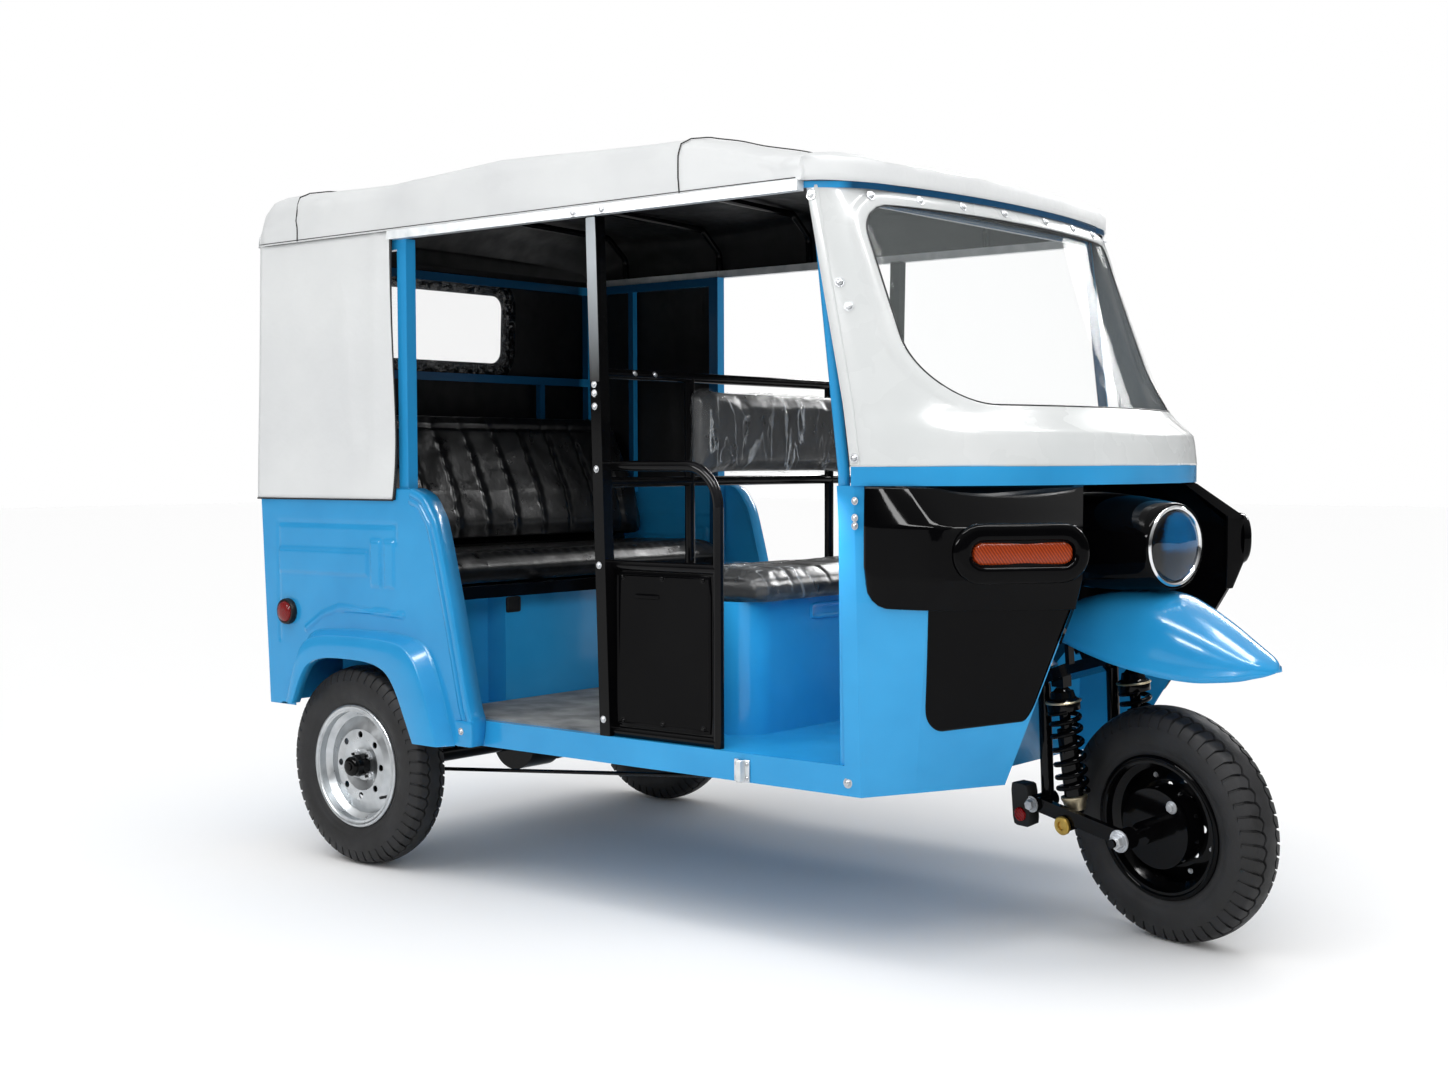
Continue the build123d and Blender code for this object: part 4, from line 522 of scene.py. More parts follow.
def arc_point(a, b, c, share):
    """A point on the arc through three points (r, y)."""
    (ax, ay), (bx, by), (cx, cy) = a, b, c
    d = 2 * (ax * (by - cy) + bx * (cy - ay) + cx * (ay - by))
    aa, bb, cc = (p * p + q * q for p, q in (a, b, c))
    ux = (aa * (by - cy) + bb * (cy - ay) + cc * (ay - by)) / d
    uy = (aa * (cx - bx) + bb * (ax - cx) + cc * (bx - ax)) / d
    t0, t1 = atan2(ay - uy, ax - ux), atan2(cy - uy, cx - ux)
    t = t0 + ((t1 - t0 + pi) % (2 * pi) - pi) * share
    return ux + hypot(ax - ux, ay - uy) * cos(t), uy + hypot(ax - ux, ay - uy) * sin(t)


def tyre(name, node, body, hub):
    """A block-treaded tyre: a zigzag middle rib, and shoulder lugs that run down the sidewalls."""
    columns = [((pitch + share) / LUG_PITCHES, low, abs((pitch + share) % 1.0 - 0.5) * 4 - 1)
               for pitch in range(LUG_PITCHES) for share, low in PITCH_COLUMNS]
    wall = [(0.06, "lug"), (0.14, "lug"), (0.22, "lug"), (0.30, "lug"), (0.325, ""), (0.42, ""), (0.52, ""), (0.64, ""),
            (0.76, ""), (0.80, "line"), (0.84, ""), (0.93, ""), (1.0, "")]
    half = [(None, across / 1000, zigzag / 1000, kind, max(0, across - 22) / 20) for across, kind, zigzag in TREAD_ROWS]
    half += [(*arc_point((crown_radius(0.042), 0.042), BULGE, (0.166, 0.0437), share), 0, kind,
              1 + share if kind == "lug" else 0) for share, kind in wall]
    half.append((0.1525, 0.0437, 0, "", 0))
    points = []
    for radius, y, zigzag, kind, slant in [(r, -y, -zig, *rest) for r, y, zig, *rest in reversed(half[1:])] + half:
        for turn, low, wave in columns:
            here = y + zigzag * wave
            drop = {"groove": GROOVE, "line": -0.0012}.get(kind, 0)
            if kind == "lug" and low:
                drop = GROOVE if radius is None else GROOVE * (1.75 - slant) / 0.75
            angle = 2 * pi * (turn + slant * 0.25 / LUG_PITCHES * (1 if y > 0 else -1))
            if radius is None:
                r = crown_radius(here) - drop
            else:
                lean = clamp((radius - BULGE[0]) / 0.055)
                r = radius - drop * lean
                here -= copysign(drop * (1 - lean), y)
            points.append(hub + Vector((r * sin(angle), here, r * cos(angle))))
    piece(name, grid(points, len(columns), ring=True), body, RUBBER, crease=38, stands_for=node)


front_hub = Vector((FRONT_X, 0, AXLE_Z))
right_hub = Vector((REAR_X, -0.608, TYRE_RADIUS))
left_hub = Vector((REAR_X, 0.608, TYRE_RADIUS))
tyre("front_tyre_tread", "front_wheel_tyre", "front_wheel", front_hub)
tyre("right_tyre_tread", "rear_wheel_right_tyre", "rear_wheel_right", right_hub)
tyre("left_tyre_tread", "rear_wheel_left_tyre", "rear_wheel_left", left_hub)


# ---------------------------------------------------------------- white front fairing
# height, rear edge ahead of the rear axle, reach ahead of it, half width
FAIRING_ROWS = [(1.077, 1.626, 0.395, 0.640), (1.128, 1.619, 0.3965, 0.640), (1.148, 1.616, 0.3945, 0.640),
                (1.156, 1.615, 0.3845, 0.640), (1.196, 1.609, 0.330, 0.640), (1.220, 1.605, 0.316, 0.640),
                (1.45, 1.556, 0.234, 0.6385), (1.690, 1.506, 0.150, 0.637)]
SCREEN_LOW, SCREEN_HIGH, SCREEN_HALF = 1.207, 1.645, 0.566


def on_fairing(turn, z, out=0.0):
    """A point of the fairing's outside: turn is 0 at the middle and a quarter circle at each rear edge."""
    _, rear, reach, half = straight_at(FAIRING_ROWS, z)
    return Vector((REAR_X + rear + (reach + out) * cos(turn), (half + out) * sin(turn), z))


def screen_outline(margin, per_side):
    """The windscreen opening's outline as (turn, height)."""
    middle = (SCREEN_LOW + SCREEN_HIGH) / 2
    loop = rounded_loop(2 * (SCREEN_HALF + margin), SCREEN_HIGH - SCREEN_LOW + 2 * margin, 0.150 + margin, per_side,
                        0.072 + margin)
    return [(asin(clamp(y / straight_at(FAIRING_ROWS, z + middle)[3], -1)), z + middle) for y, z in loop]


def fairing():
    # the raised lip round the opening: margin, height
    lip = [(0, 0.002), (0.0012, 0.006), (0.004, 0.0078), (0.019, 0.008), (0.024, 0.0066), (0.030, 0.0022), (0.036, 0)]
    points = [on_fairing(t, z, lift * (0.2 + 0.8 * clamp((z - 1.20) / 0.14))) for margin, lift in lip
              for t, z in screen_outline(margin, 44)]
    outer = box_loop(pi / 2, FAIRING_ROWS[0][0], FAIRING_ROWS[-1][0], 44, gather=1)
    points += [on_fairing(t, z) for t, z in rings_between(screen_outline(lip[-1][0], 44), outer, 16)]
    piece("fairing_shell", grid(points, len(outer), ring=True, flip=True), "body", [WHITE_SHELL, SHELL_BACK_AND_PAINTED_SHADE],
          crease=60, wall=0.004, stands_for="front_fairing")
    seal = [on_fairing(t, z, -0.001) for t, z in screen_outline(-0.001, 60)]
    piece("windscreen_seal", tube_mesh(seal, 0.0022, loop=True), "body", BLACK_MATT, crease=None)
    # the flange along each rear edge, a step 2.5 mm high and 24 mm wide
    flanges = []
    for side in (-1, 1):
        rows = []
        for inward, out in ((0, 0.0004), (0, 0.0022), (0.0008, 0.0028), (0.021, 0.0028), (0.0235, 0.0018),
                            (0.024, 0.0004)):
            for z in [1.080 + 0.602 * k / 40 for k in range(41)]:
                rows.append(on_fairing(side * acos(inward / straight_at(FAIRING_ROWS, z)[2]), z, out))
        flanges.append(grid(rows, 41, flip=side < 0))
    piece("fairing_edge_flanges", flanges, "body", WHITE_SHELL, crease=60)


fairing()


# ---------------------------------------------------------------- canopy and curtains
HEM_Z = 1.6903
# x ahead of the rear axle, crown height, height of the side band's top, half width
CANOPY_ROWS = [(-0.455, 1.752, 1.708, 0.664), (-0.392, 1.812, 1.756, 0.673), (-0.29, 1.848, 1.786, 0.675),
               (-0.19, 1.850, 1.786, 0.675), (0.15, 1.842, 1.776, 0.675), (0.575, 1.863, 1.800, 0.675),
               (1.18, 1.840, 1.776, 0.675), (1.367, 1.792, 1.738, 0.673), (1.59, 1.756, 1.714, 0.667),
               (1.70, 1.724, 1.706, 0.661)]
BOWS = (-0.19, 0.208, 0.56, 1.18, 1.44)
# tension folds: foot x and z, run in x and z, width, depth
FOLDS = [(-0.36, 1.70, 0.33, 0.10, 0.020, 0.005), (0.16, 1.70, 0.10, 0.13, 0.016, 0.005),
         (1.22, 1.80, 0.24, -0.07, 0.020, 0.006), (1.44, 1.70, 0.14, 0.08, 0.020, 0.007),
         (0.10, 1.70, -0.22, 0.08, 0.022, 0.004)]


def canopy_section(x, share):
    """Point (y, z) of the canopy's section at x; share runs from -1 at the right hem to 1 at the left one."""
    _, crown, shoulder, half = straight_at(CANOPY_ROWS, x)
    brow = crown - (crown - shoulder) * 0.22
    s = 1 - abs(share)
    if s <= 0.42:
        _, y, z = straight_at([(0, half, HEM_Z), (0.13, half - 0.003, shoulder),
                               (0.2, half - 0.013, shoulder + (brow - shoulder) * 0.5),
                               (0.3, half - 0.045, brow - (crown - shoulder) * 0.16), (0.42, half - 0.11, brow)], s)
    else:
        f = (s - 0.42) / 0.58
        y, z = (half - 0.11) * (1 - f), brow + (crown - brow) * (1 - (1 - f) ** 2)
    return copysign(1, share) * y, z


def canopy_rear(y):
    """How far back the roof reaches at y: its rear corners are rounded to meet the side curtains' edges."""
    return -0.448 + 0.086 * min(1, max(0, abs(y) - 0.48) / 0.195) ** 2.2


def canopy_front(y):
    """How far forward the roof reaches at y, where its front edge bows over the windscreen."""
    return 1.512 + 0.158 * sqrt(max(0, 1 - (y / 0.655) ** 2))


def folds(x, y, z):
    """How far the cloth stands off its drawn form: slack between the bows, tension folds at the corners."""
    slack = 0.009 * noise.noise(Vector((x * 2.2, y * 2.6, z * 3)))
    slack += 0.0035 * noise.noise(Vector((x * 9, y * 9, z * 10)))
    for a, b in zip(BOWS, BOWS[1:]):
        if a <= x <= b:
            slack -= 0.007 * sin(pi * (x - a) / (b - a)) * (1 if y < 0.6 else 0.4)
    for x0, z0, dx, dz, width, deep in FOLDS:
        length = hypot(dx, dz)
        along = ((x - x0) * dx + (z - z0) * dz) / length / length
        off = abs((x - x0) * dz - (z - z0) * dx) / length
        if -0.1 < along < 1.1 and y > 0.45:
            slack += 1.5 * deep * exp(-(off / width) ** 2) * sin(pi * clamp(along)) ** 0.5
    return slack


def folded(x, y, z, ease=1.0, out=0.0, up=0.0):
    """A point of the cloth: its folds stand up on the roof and out on the side bands."""
    lift = folds(x, abs(y), z) * ease * clamp((z - HEM_Z) * 30)
    lean = clamp((abs(y) - 0.57) / 0.1)
    return REAR_X + x, y + copysign(lift * lean + out, y), z + lift * (1 - lean) + up


def canopy_roof():
    shares = [-1 + 2 * k / 96 for k in range(97)]
    shares = [copysign(1 - (1 - abs(s)) ** 1.25, s) for s in shares]
    points = []
    for lift in (0.0, 0.2, 0.4, 0.6, 0.8, 0.95):            # the rear end, from its hem up
        for share in shares:
            y, z = canopy_section(-0.455, share)
            points.append((REAR_X + canopy_rear(y) + 0.003 * lift, y * (1.015 - 0.015 * share ** 6),
                           HEM_Z + (z - 0.004 - HEM_Z) * lift))
    for k in range(117):                                    # 97 rows over the roof and 20 that follow the front bow
        for share in shares:
            x = -0.455 + 1.855 * min(k, 96) / 96
            y, z = canopy_section(x, share)
            if k > 96:
                x += (canopy_front(y) - 1.40) * (k - 96) / 20
                y, z = canopy_section(x, share)
            elif x < -0.30:
                x = -0.30 + (x + 0.30) * (0.30 + canopy_rear(y)) / -0.155
            points.append(folded(x, y, z, min(1, (x + 0.455) * 12)))
    for drop in (0.08, 0.35, 0.7, 1.0):                     # the front edge, turned down over the trim
        for share in shares:
            x = canopy_front(canopy_section(1.50, share)[0])
            y, z = canopy_section(x, share)
            points.append((REAR_X + x + 0.004 * min(1, drop * 3), y, z + (HEM_Z - z) * drop))
    roof = piece("canopy_cloth", grid(points, len(shares)), "body", [CANOPY, LINING], crease=50,
                 out=(0, 0, 1), wall=0.004, stands_for="canopy_roof")
    pipes = [[folded(x, *canopy_section(x, -1 + 2 * k / 80), out=0.001, up=0.002) for k in range(81)]
             for x in (-0.19, 1.18)]
    hems = [[(REAR_X + x, side * (straight_at(CANOPY_ROWS, x)[3] + 0.0006), HEM_Z + 0.005)
             for x in [-0.358 + 1.86 * k / 60 for k in range(61)]] for side in (-1, 1)]
    trims = [piece(name, [tube_mesh(line, radius, around) for line in lines], "body", BLACK_MATT,
                   crease=None) for name, lines, radius, around in (("canopy_piping", pipes, 0.0016, 8),
                                                                    ("canopy_hem_seam", hems, 0.0011, 6))]


def curtain_point(side, s, t):
    """Outside of a side curtain: s from its front edge back, t from its head down."""
    x = 0.184 + (-0.546 - 0.0296 * t) * s + 0.015 * (1 - s) ** 3 * sin(pi * t ** 2.5)
    bulge = 0.004 * sin(pi * t) * sin(pi * s)
    bulge += 0.005 * noise.noise(Vector((x * 7, 4.0, (1.690 - 0.698 * t) * 1.7))) * sin(pi * min(1, t * 1.1))
    bulge += 0.004 * exp(-((s - 0.36 + 0.10 * t) / 0.045) ** 2) * sin(pi * t)
    bulge += 0.0022 * exp(-((s - 0.1 - 0.05 * t) / 0.03) ** 2) + 0.0022 * exp(-((s - 0.93) / 0.02) ** 2) * t
    return Vector((REAR_X + x, side * (0.6688 + max(bulge, -0.001)), 1.690 - 0.698 * t))


def side_curtains():
    for side, name in SIDES:
        points = [curtain_point(side, k / 48, j / 60) for j in range(61) for k in range(49)]
        cloth = piece("side_curtain_" + name, grid(points, 49, flip=side > 0), "body", [CANOPY, LINING],
                      crease=60, wall=0.003, stands_for="side_curtains")
        # the dark binding, rolled out a little at the head and the foot of the front edge
        bow = [abs(j / 20 - 1) for j in range(41)]
        front = [curtain_point(side, 0, j / 40) + Vector((0.001 + 0.003 * b ** 4, 0, 0)) for j, b in enumerate(bow)]
        foot = [curtain_point(side, k / 30, 1.0) - Vector((0, 0, 0.001)) for k in range(31)]
        binding = piece("curtain_binding_" + name, [tube_mesh(front, [0.002 + 0.0025 * b ** 3 for b in bow]),
                                                    tube_mesh(foot, 0.0022)], "body", LINING,
                        crease=None)


WINDOW_LOW, WINDOW_HIGH, WINDOW_HALF = 1.392, 1.628, 0.272


def window_loop(grow, corner, per_side):
    """The rear window's outline, grown by so much, as (y, z)."""
    middle = (WINDOW_LOW + WINDOW_HIGH) / 2
    return [(y, z + middle) for y, z in rounded_loop(2 * (WINDOW_HALF + grow), WINDOW_HIGH - WINDOW_LOW + 2 * grow,
                                                     corner + grow, per_side)]


def rear_point(y, z, out=0.0):
    return Vector((REAR_X - 0.3916 + 0.0296 * (z - 0.992) / 0.698 - out, y, z))


def rear_cloth(y, z):
    wave = 0.003 * noise.noise(Vector((y * 5, 2.0, z * 3))) + 0.0012 * noise.noise(Vector((y * 16, 5.0, z * 9)))
    return rear_point(y, z, max(wave, -0.001) * clamp(min((0.665 - abs(y)) * 20, (1.69 - z) * 20)))


def rear_curtain():
    near, outer = window_loop(0.025, 0.040, 26), box_loop(0.665, 0.992, 1.690, 26)
    points = [rear_cloth(y, z) for y, z in window_loop(0, 0.040, 26) + near + rings_between(near, outer, 18)]
    made = piece("rear_curtain_cloth", grid(points, len(outer), ring=True), "body", [CANOPY, LINING],
                 crease=60, wall=0.003, stands_for="rear_curtain")
    # gathered black film round the window, inside and outside
    borders = []
    for inward in (0.0055, -0.0022):
        rings = []
        for j in range(9):
            for y, z in window_loop(-0.012 + 0.058 * j / 8, 0.052, 60):
                middle = (WINDOW_LOW + WINDOW_HIGH) / 2
                crumple = 0.011 * abs(noise.noise(Vector((y * 30, j * 0.5, (z - middle) * 30)))) * sin(pi * j / 8)
                rings.append(rear_point(y, z, -inward - copysign(crumple, inward)))
        borders.append(grid(rings, 240, ring=True, flip=inward > 0))
    border = piece("rear_window_border", borders, "body", GATHERED, crease=None)


canopy_roof()
side_curtains()
rear_curtain()


# ---------------------------------------------------------------- black nose pieces
# height, then plan points ahead of the front pillar: rear end, corner, middle, inner front end, its return
WING_ROWS = [(0.776, 0.040, -0.641, 0.180, -0.620, 0.294, -0.509, 0.408, -0.398, 0.396, -0.380),
             (0.842, 0.040, -0.648, 0.228, -0.645, 0.330, -0.526, 0.432, -0.408, 0.396, -0.378),
             (0.952, 0.040, -0.648, 0.228, -0.645, 0.330, -0.526, 0.432, -0.408, 0.396, -0.378),
             (1.0357, 0.040, -0.646, 0.140, -0.608, 0.294, -0.440, 0.362, -0.275, 0.330, -0.262)]
WING_HEIGHTS = (0.776, 0.777, 0.782, 0.80, 0.822, 0.836, 0.842, 0.848, 0.86, 0.88, 0.90, 0.92, 0.938, 0.946, 0.9505,
                0.9535, 0.957, 0.965, 0.98, 1.0, 1.018, 1.030, 1.0357)


def bend(a, knee, b, shares):
    """Points on the smooth curve that rounds a knee between two points."""
    return [a.lerp(knee, t).lerp(knee.lerp(b, t), t) for t in shares]


def plan_points(row):
    return [Vector(pair) for pair in zip(row[1::2], row[2::2])]


def wing_columns(z):
    """The plan line as a smooth curve: a rounded shoulder, a gently bowed front and a folded inner edge."""
    rear, corner, middle, front, back = plan_points(straight_at(WING_ROWS, z))
    out = [rear.lerp(corner, (k / 8) ** 1.6) for k in range(7)]
    a, b = corner.lerp(rear, 0.16), corner.lerp(middle, 0.26)
    out += bend(a, corner, b, [k / 8 for k in range(9)])
    out += [b.lerp(front, k / 12) + Vector((0.010, -0.006)) * sin(pi * k / 12) for k in range(1, 12)]
    c, d = front.lerp(middle, 0.05), front.lerp(back, 0.5)
    return out + bend(c, front, d, (0, 0.25, 0.5, 0.75, 1)) + [d.lerp(back, k / 3) for k in (1, 2, 3)]


# the turn lamp's pod and its lens: how far past the opening, how far out
POD = ((0.040, -0.004), (0.0395, 0.007), (0.038, 0.0115), (0.034, 0.0150), (0.026, 0.0165), (0.014, 0.0172),
       (0.009, 0.0172), (0.006, 0.0155), (0.004, 0.0120), (0.002, 0.002))
LENS = ((0.0, -0.004), (0.0, 0.008), (0.0015, 0.0105), (0.006, 0.0128), (0.014, 0.014), (0.022, 0.0144))


def lamp_wings():
    _, lamp_a, _, lamp_b, _ = plan_points(WING_ROWS[1])
    along, centre = (lamp_b - lamp_a).normalized(), lamp_a.lerp(lamp_b, 0.56)
    for side, name in SIDES:
        points = []
        for z in WING_HEIGHTS:
            for k, p in enumerate(wing_columns(z)):
                short = 0.055 - clamp(p.x - 0.040, 0, 0.055)
                rear_lift = (0.055 - sqrt(max(0.055 ** 2 - short ** 2, 0))) * max(0, 1 - (z - 0.776) / 0.12)
                pull = -0.004 if z <= 0.7765 else 0.0
                ledge = 0.006 * exp(-((z - 0.951) / 0.006) ** 2) if 8 < k < 27 else 0.0
                points.append((PILLAR_A + p.x + pull + ledge, -side * (p.y + ledge * 0.6 - pull), z + rear_lift))
        piece("lamp_wing_" + name, grid(points, len(points) // len(WING_HEIGHTS), flip=side > 0), "body", BLACK_GLOSS,
              crease=32, out=(0, side, 0), wall=0.0035, stands_for="lamp_wings")

        def on_lamp(u, v, w, side=side):
            p = centre + along * u + Vector((along.y, -along.x)) * w
            return PILLAR_A + p.x, -side * p.y, 0.897 + v

        rings = [on_lamp(u - 0.10 * max(grow - 0.016, 0), v, w) for grow, w in POD
                 for u, v in rounded_loop(0.215 + 2 * grow, 0.046 + 2 * grow, 0.020 + grow, 16)]
        piece("turn_lamp_frame_" + name, grid(rings, 64, ring=True, flip=side < 0), "body", BLACK_GLOSS,
              crease=50)
        piece("turn_lamp_lens_" + name, plate_mesh(on_lamp, (0.215, 0.046), 0.019, LENS, 16, 0.0006, side < 0), "body",
              AMBER, crease=60, out="all", stands_for="turn_lamps")


COWL_FRONT = [(0.365, 0.075, -0.500, 0.175, -0.290), (0.787, 0.170, -0.600, 0.400, -0.392)]
LOWER_PANEL = [(0.505, 0.06, 0.985), (0.560, 0.035, 0.99), (0.775, 0.004, 0.99)]


def cowl_front(z, share, out, side):
    """A point in front of the cowl's slanting front skin."""
    (z0, *low), (z1, *high) = COWL_FRONT
    ax, ay, bx, by = (p + (q - p) * (z - z0) / (z1 - z0) for p, q in zip(low, high))
    p = Vector((ax, ay)).lerp(Vector((bx, by)), share) + Vector((by - ay, ax - bx)).normalized() * out
    return PILLAR_A + p.x, -side * p.y, z


def lower_panels():
    """Gloss black panels under the wings, with rounded lower corners and an edge turned in."""
    heights = [0.505 + 0.045 * (1 - cos(pi / 2 * k / 10)) for k in range(11)]
    heights += [0.55 + 0.225 * k / 16 for k in range(1, 17)]
    across = [0, 0.012, 0.03] + [0.06 + 0.88 * k / 20 for k in range(21)] + [0.97, 0.988, 1]
    for side, name in SIDES:
        points = []
        for z in heights:
            _, start, end = straight_at(LOWER_PANEL, z)
            cut = 0.15 * (1 - sqrt(max(0, 1 - ((0.55 - z) / 0.045) ** 2))) if z < 0.55 else 0
            start, end = start + cut, end - cut * 0.4
            for s in across:
                edge = min(1, min(s, 1 - s) / 0.03)
                crown = 0.0068 if edge == 1 else 0.0008 + 0.006 * sqrt(1 - (1 - edge) ** 2)
                crown = 0.0008 + (crown - 0.0008) * sqrt(clamp((z - 0.505) / 0.006))
                rise = 0.014 * s * max(0, 1 - (z - 0.505) / 0.27)
                points.append(cowl_front(z + rise, start + (end - start) * s, crown, side))
        piece("lower_panel_" + name, grid(points, len(across), flip=side > 0), "body", BLACK_GLOSS,
              crease=60, out=(0, side, 0), stands_for="lower_panels")


# height, then the cowl's inner cheek in plan ahead of the front pillar: its front corner, its rear one
CHEEK_ROWS = [(0.700, 0.353, 0.370, 0.0445, 0.315), (0.788, 0.398, 0.390, 0.040, 0.328),
              (0.930, 0.396, 0.390, 0.028, 0.328), (1.032, 0.272, 0.390, 0.022, 0.328)]


def nose_lining():
    """Gloss black sheet that lines the recess between the lamp wings: both cheeks and the wall behind the headlamp."""
    rows = []
    for z in [0.700 + 0.332 * j / 21 for j in range(22)]:
        front, back = plan_points(straight_at(CHEEK_ROWS, z))
        half = [front + Vector((0.005, 0.014)), front + Vector((0.005, 0.001))]
        half += [front.lerp(back, k / 12) for k in range(12)]
        half += [Vector((back.x + 0.004 + 0.036 * (1 - sin(t)), back.y - 0.040 * (1 - cos(t))))
                 for t in [pi / 2 * k / 6 for k in range(7)]]
        half += [Vector((back.x + 0.004, back.y * (1 - k / 8))) for k in range(2, 9)]
        rows += [(PILLAR_A + p.x, -p.y + 0.0022, z) for p in half]
        rows += [(PILLAR_A + p.x, p.y - 0.0022, z) for p in reversed(half[:-1])]
    piece("nose_lining", grid(rows, len(rows) // 22), "body", BLACK_GLOSS, crease=60,
          out=(1, 0, 0))


lamp_wings()
lower_panels()
nose_lining()


# ---------------------------------------------------------------- headlamp and mudguard, on the steering
LAMP_X = axis_x(0.905)
# reach ahead of the steering axis, half width, bottom, top, how square the section is
NACELLE_ROWS = [(0.095, 0.114, 0.838, 1.010, 3.2), (0.13, 0.119, 0.818, 1.0115, 3.1), (0.17, 0.121, 0.807, 1.012, 3.0),
                (0.235, 0.117, 0.805, 1.010, 2.6), (0.300, 0.108, 0.806, 1.006, 2.3), (0.350, 0.100, 0.809, 1.001, 2.1),
                (0.382, 0.0945, 0.8118, 0.9975, 2.0), (0.392, 0.0915, 0.8138, 0.9958, 2.0)]
BEZEL = [(-0.010, 0.0895), (-0.006, 0.0915), (0.001, 0.0918), (0.006, 0.0895), (0.0085, 0.0855), (0.007, 0.0815),
         (0.002, 0.0795), (-0.004, 0.0795)]
BOWL = [(0.000, 0.0795), (-0.012, 0.076), (-0.026, 0.066), (-0.038, 0.050), (-0.045, 0.032), (-0.047, 0.016),
        (-0.040, 0.013), (-0.028, 0.012), (-0.026, 0.0005)]
DOME = [(0.002, 0.0802)] + [(0.004 + 0.011 * (1 - (r / 0.080) ** 2), r) for r in
                            (0.079, 0.070, 0.060, 0.050, 0.040, 0.030, 0.020, 0.010, 0.0005)]


def swollen(value, power):
    return copysign(abs(value) ** power, value)


def headlamp():
    points = []
    for reach, half, low, high, square in NACELLE_ROWS:
        for turn in [2 * pi * k / 72 for k in range(72)]:
            points.append((LAMP_X + reach, swollen(cos(turn), 2 / square) * half,
                           (low + high) / 2 + swollen(sin(turn), 2 / square) * (high - low) / 2))
    rounded(piece("headlamp_shell", grid(points, 72, ring=True, flip=True), "steering", BLACK_GLOSS,
                  crease=60, wall=0.0035, stands_for="headlamp_nacelle"))
    for name, profile, around, finish, slot, crease, node in (
            ("bezel", BEZEL, 72, CHROME, "lamp_chrome", 50, "headlamp"),
            ("reflector", BOWL, 22, REFLECTOR, "lamp_chrome", 3, None),
            ("lens", DOME, 72, LENS_BLUE, "clear_glass", 60, None)):
        mesh = turned_mesh(profile, (LAMP_X + 0.386, 0, 0.905), (1, 0, 0), around)
        made = piece("headlamp_" + name, mesh, "steering", finish, crease, stands_for=node)
        if name == "bezel":
            made.data.polygons[len(made.data.polygons) - 1].use_smooth = False      # the disc seen through the lens


# ahead of the axle, half width, height of the edge, height of the crown
GUARD_STATIONS = [(-0.190, 0.118, 0.690, 0.780), (-0.140, 0.1205, 0.676, 0.7925), (-0.090, 0.122, 0.664, 0.800),
                  (-0.03, 0.1215, 0.651, 0.802), (0.040, 0.118, 0.640, 0.796), (0.10, 0.109, 0.632, 0.773),
                  (0.160, 0.096, 0.628, 0.742), (0.205, 0.081, 0.630, 0.716), (0.250, 0.063, 0.634, 0.690),
                  (0.278, 0.046, 0.640, 0.674), (0.291, 0.031, 0.6425, 0.664), (0.298, 0.016, 0.645, 0.656),
                  (0.3005, 0.0015, 0.6465, 0.650)]


def front_mudguard():
    """Pressed guard: a rounded back over a rolled edge 16 mm deep."""
    points = []
    for k in range(71):
        x, half, edge, crown = flowing(GUARD_STATIONS, k / 70)
        lip = min(0.016, (crown - edge) * 0.4)
        left = [(half + 0.002, edge), (half + 0.0002, edge + lip * 0.9)]
        back = [(swollen(cos(turn), 0.72) * (half - min(0.006, half * 0.2)),
                 edge + lip + (crown - edge - lip) * sin(turn) ** 0.86) for turn in [pi * j / 40 for j in range(1, 40)]]
        points += [(FRONT_X + x, y, z) for y, z in left + back + [(-y, z) for y, z in reversed(left)]]
    piece("front_guard", grid(points, len(points) // 71), "steering", BLUE, crease=48,
          out=(0, 0, 1), wall=0.0035, stands_for="front_mudguard")


headlamp()
front_mudguard()


# ---------------------------------------------------------------- padded seats
def bake(made):
    """Applies the modifiers."""
    data = bpy.data.meshes.new_from_object(made.evaluated_get(bpy.context.evaluated_depsgraph_get()))
    made.modifiers.clear()
    made.data = data
    smooth(data)


def swell(made, cap):
    """Fills a sewn cover with foam: cloth simulation swells it, by cap at the most."""
    cloth = made.modifiers.new("fill", "CLOTH")
    settings = cloth.settings
    settings.quality, settings.use_pressure, settings.uniform_pressure_force = 4, True, 4
    settings.tension_stiffness = settings.compression_stiffness = 12
    settings.effector_weights.gravity = 0
    cloth.point_cache.frame_end = 20
    for step in range(1, 21):
        bpy.context.scene.frame_set(step)
    moved = made.evaluated_get(bpy.context.evaluated_depsgraph_get()).to_mesh()
    shifts = [end.co - vertex.co for vertex, end in zip(made.data.vertices, moved.vertices)]
    made.modifiers.remove(cloth)
    bpy.context.scene.frame_set(1)
    for vertex, shift in zip(made.data.vertices, shifts):
        vertex.co += shift * min(1, cap / max(shift.length, 1e-9))


def prism(outline, y0, y1, steps, round_ends):
    """A bar from an (x, z) outline, in steps across the vehicle, its ends drawn in by round_ends."""
    points, count = [], len(outline)
    cx, cz = (sum(p[i] for p in outline) / count for i in (0, 1))
    for y in [y0 + (y1 - y0) * k / steps for k in range(steps + 1)]:
        size = 1 - 0.22 * max(0, 1 - min(y - y0, y1 - y) / round_ends) ** 2
        points += [(cx + (x - cx) * size, y, cz + (z - cz) * size) for x, z in outline]
    return ends(grid(points, count, ring=True), count)


def cushion(name, node, mesh, voxel, cap, fill, *moves):
    """A padded piece: each of moves(point, normal) sews its seams in or holds it off what it lies on."""
    made = piece(name, mesh, "body", VINYL, crease=None, out="all")
    skin = made.modifiers.new("skin", "REMESH")
    skin.mode, skin.voxel_size, skin.use_smooth_shade = "VOXEL", voxel, True
    bake(made)
    swell(made, cap)
    for move in moves:
        shifts = [move(v.co, v.normal.copy()) for v in made.data.vertices]
        for vertex, shift in zip(made.data.vertices, shifts):
            vertex.co += shift
        made.data.update()
    bake(rounded(made))
    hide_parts(node)
    return made


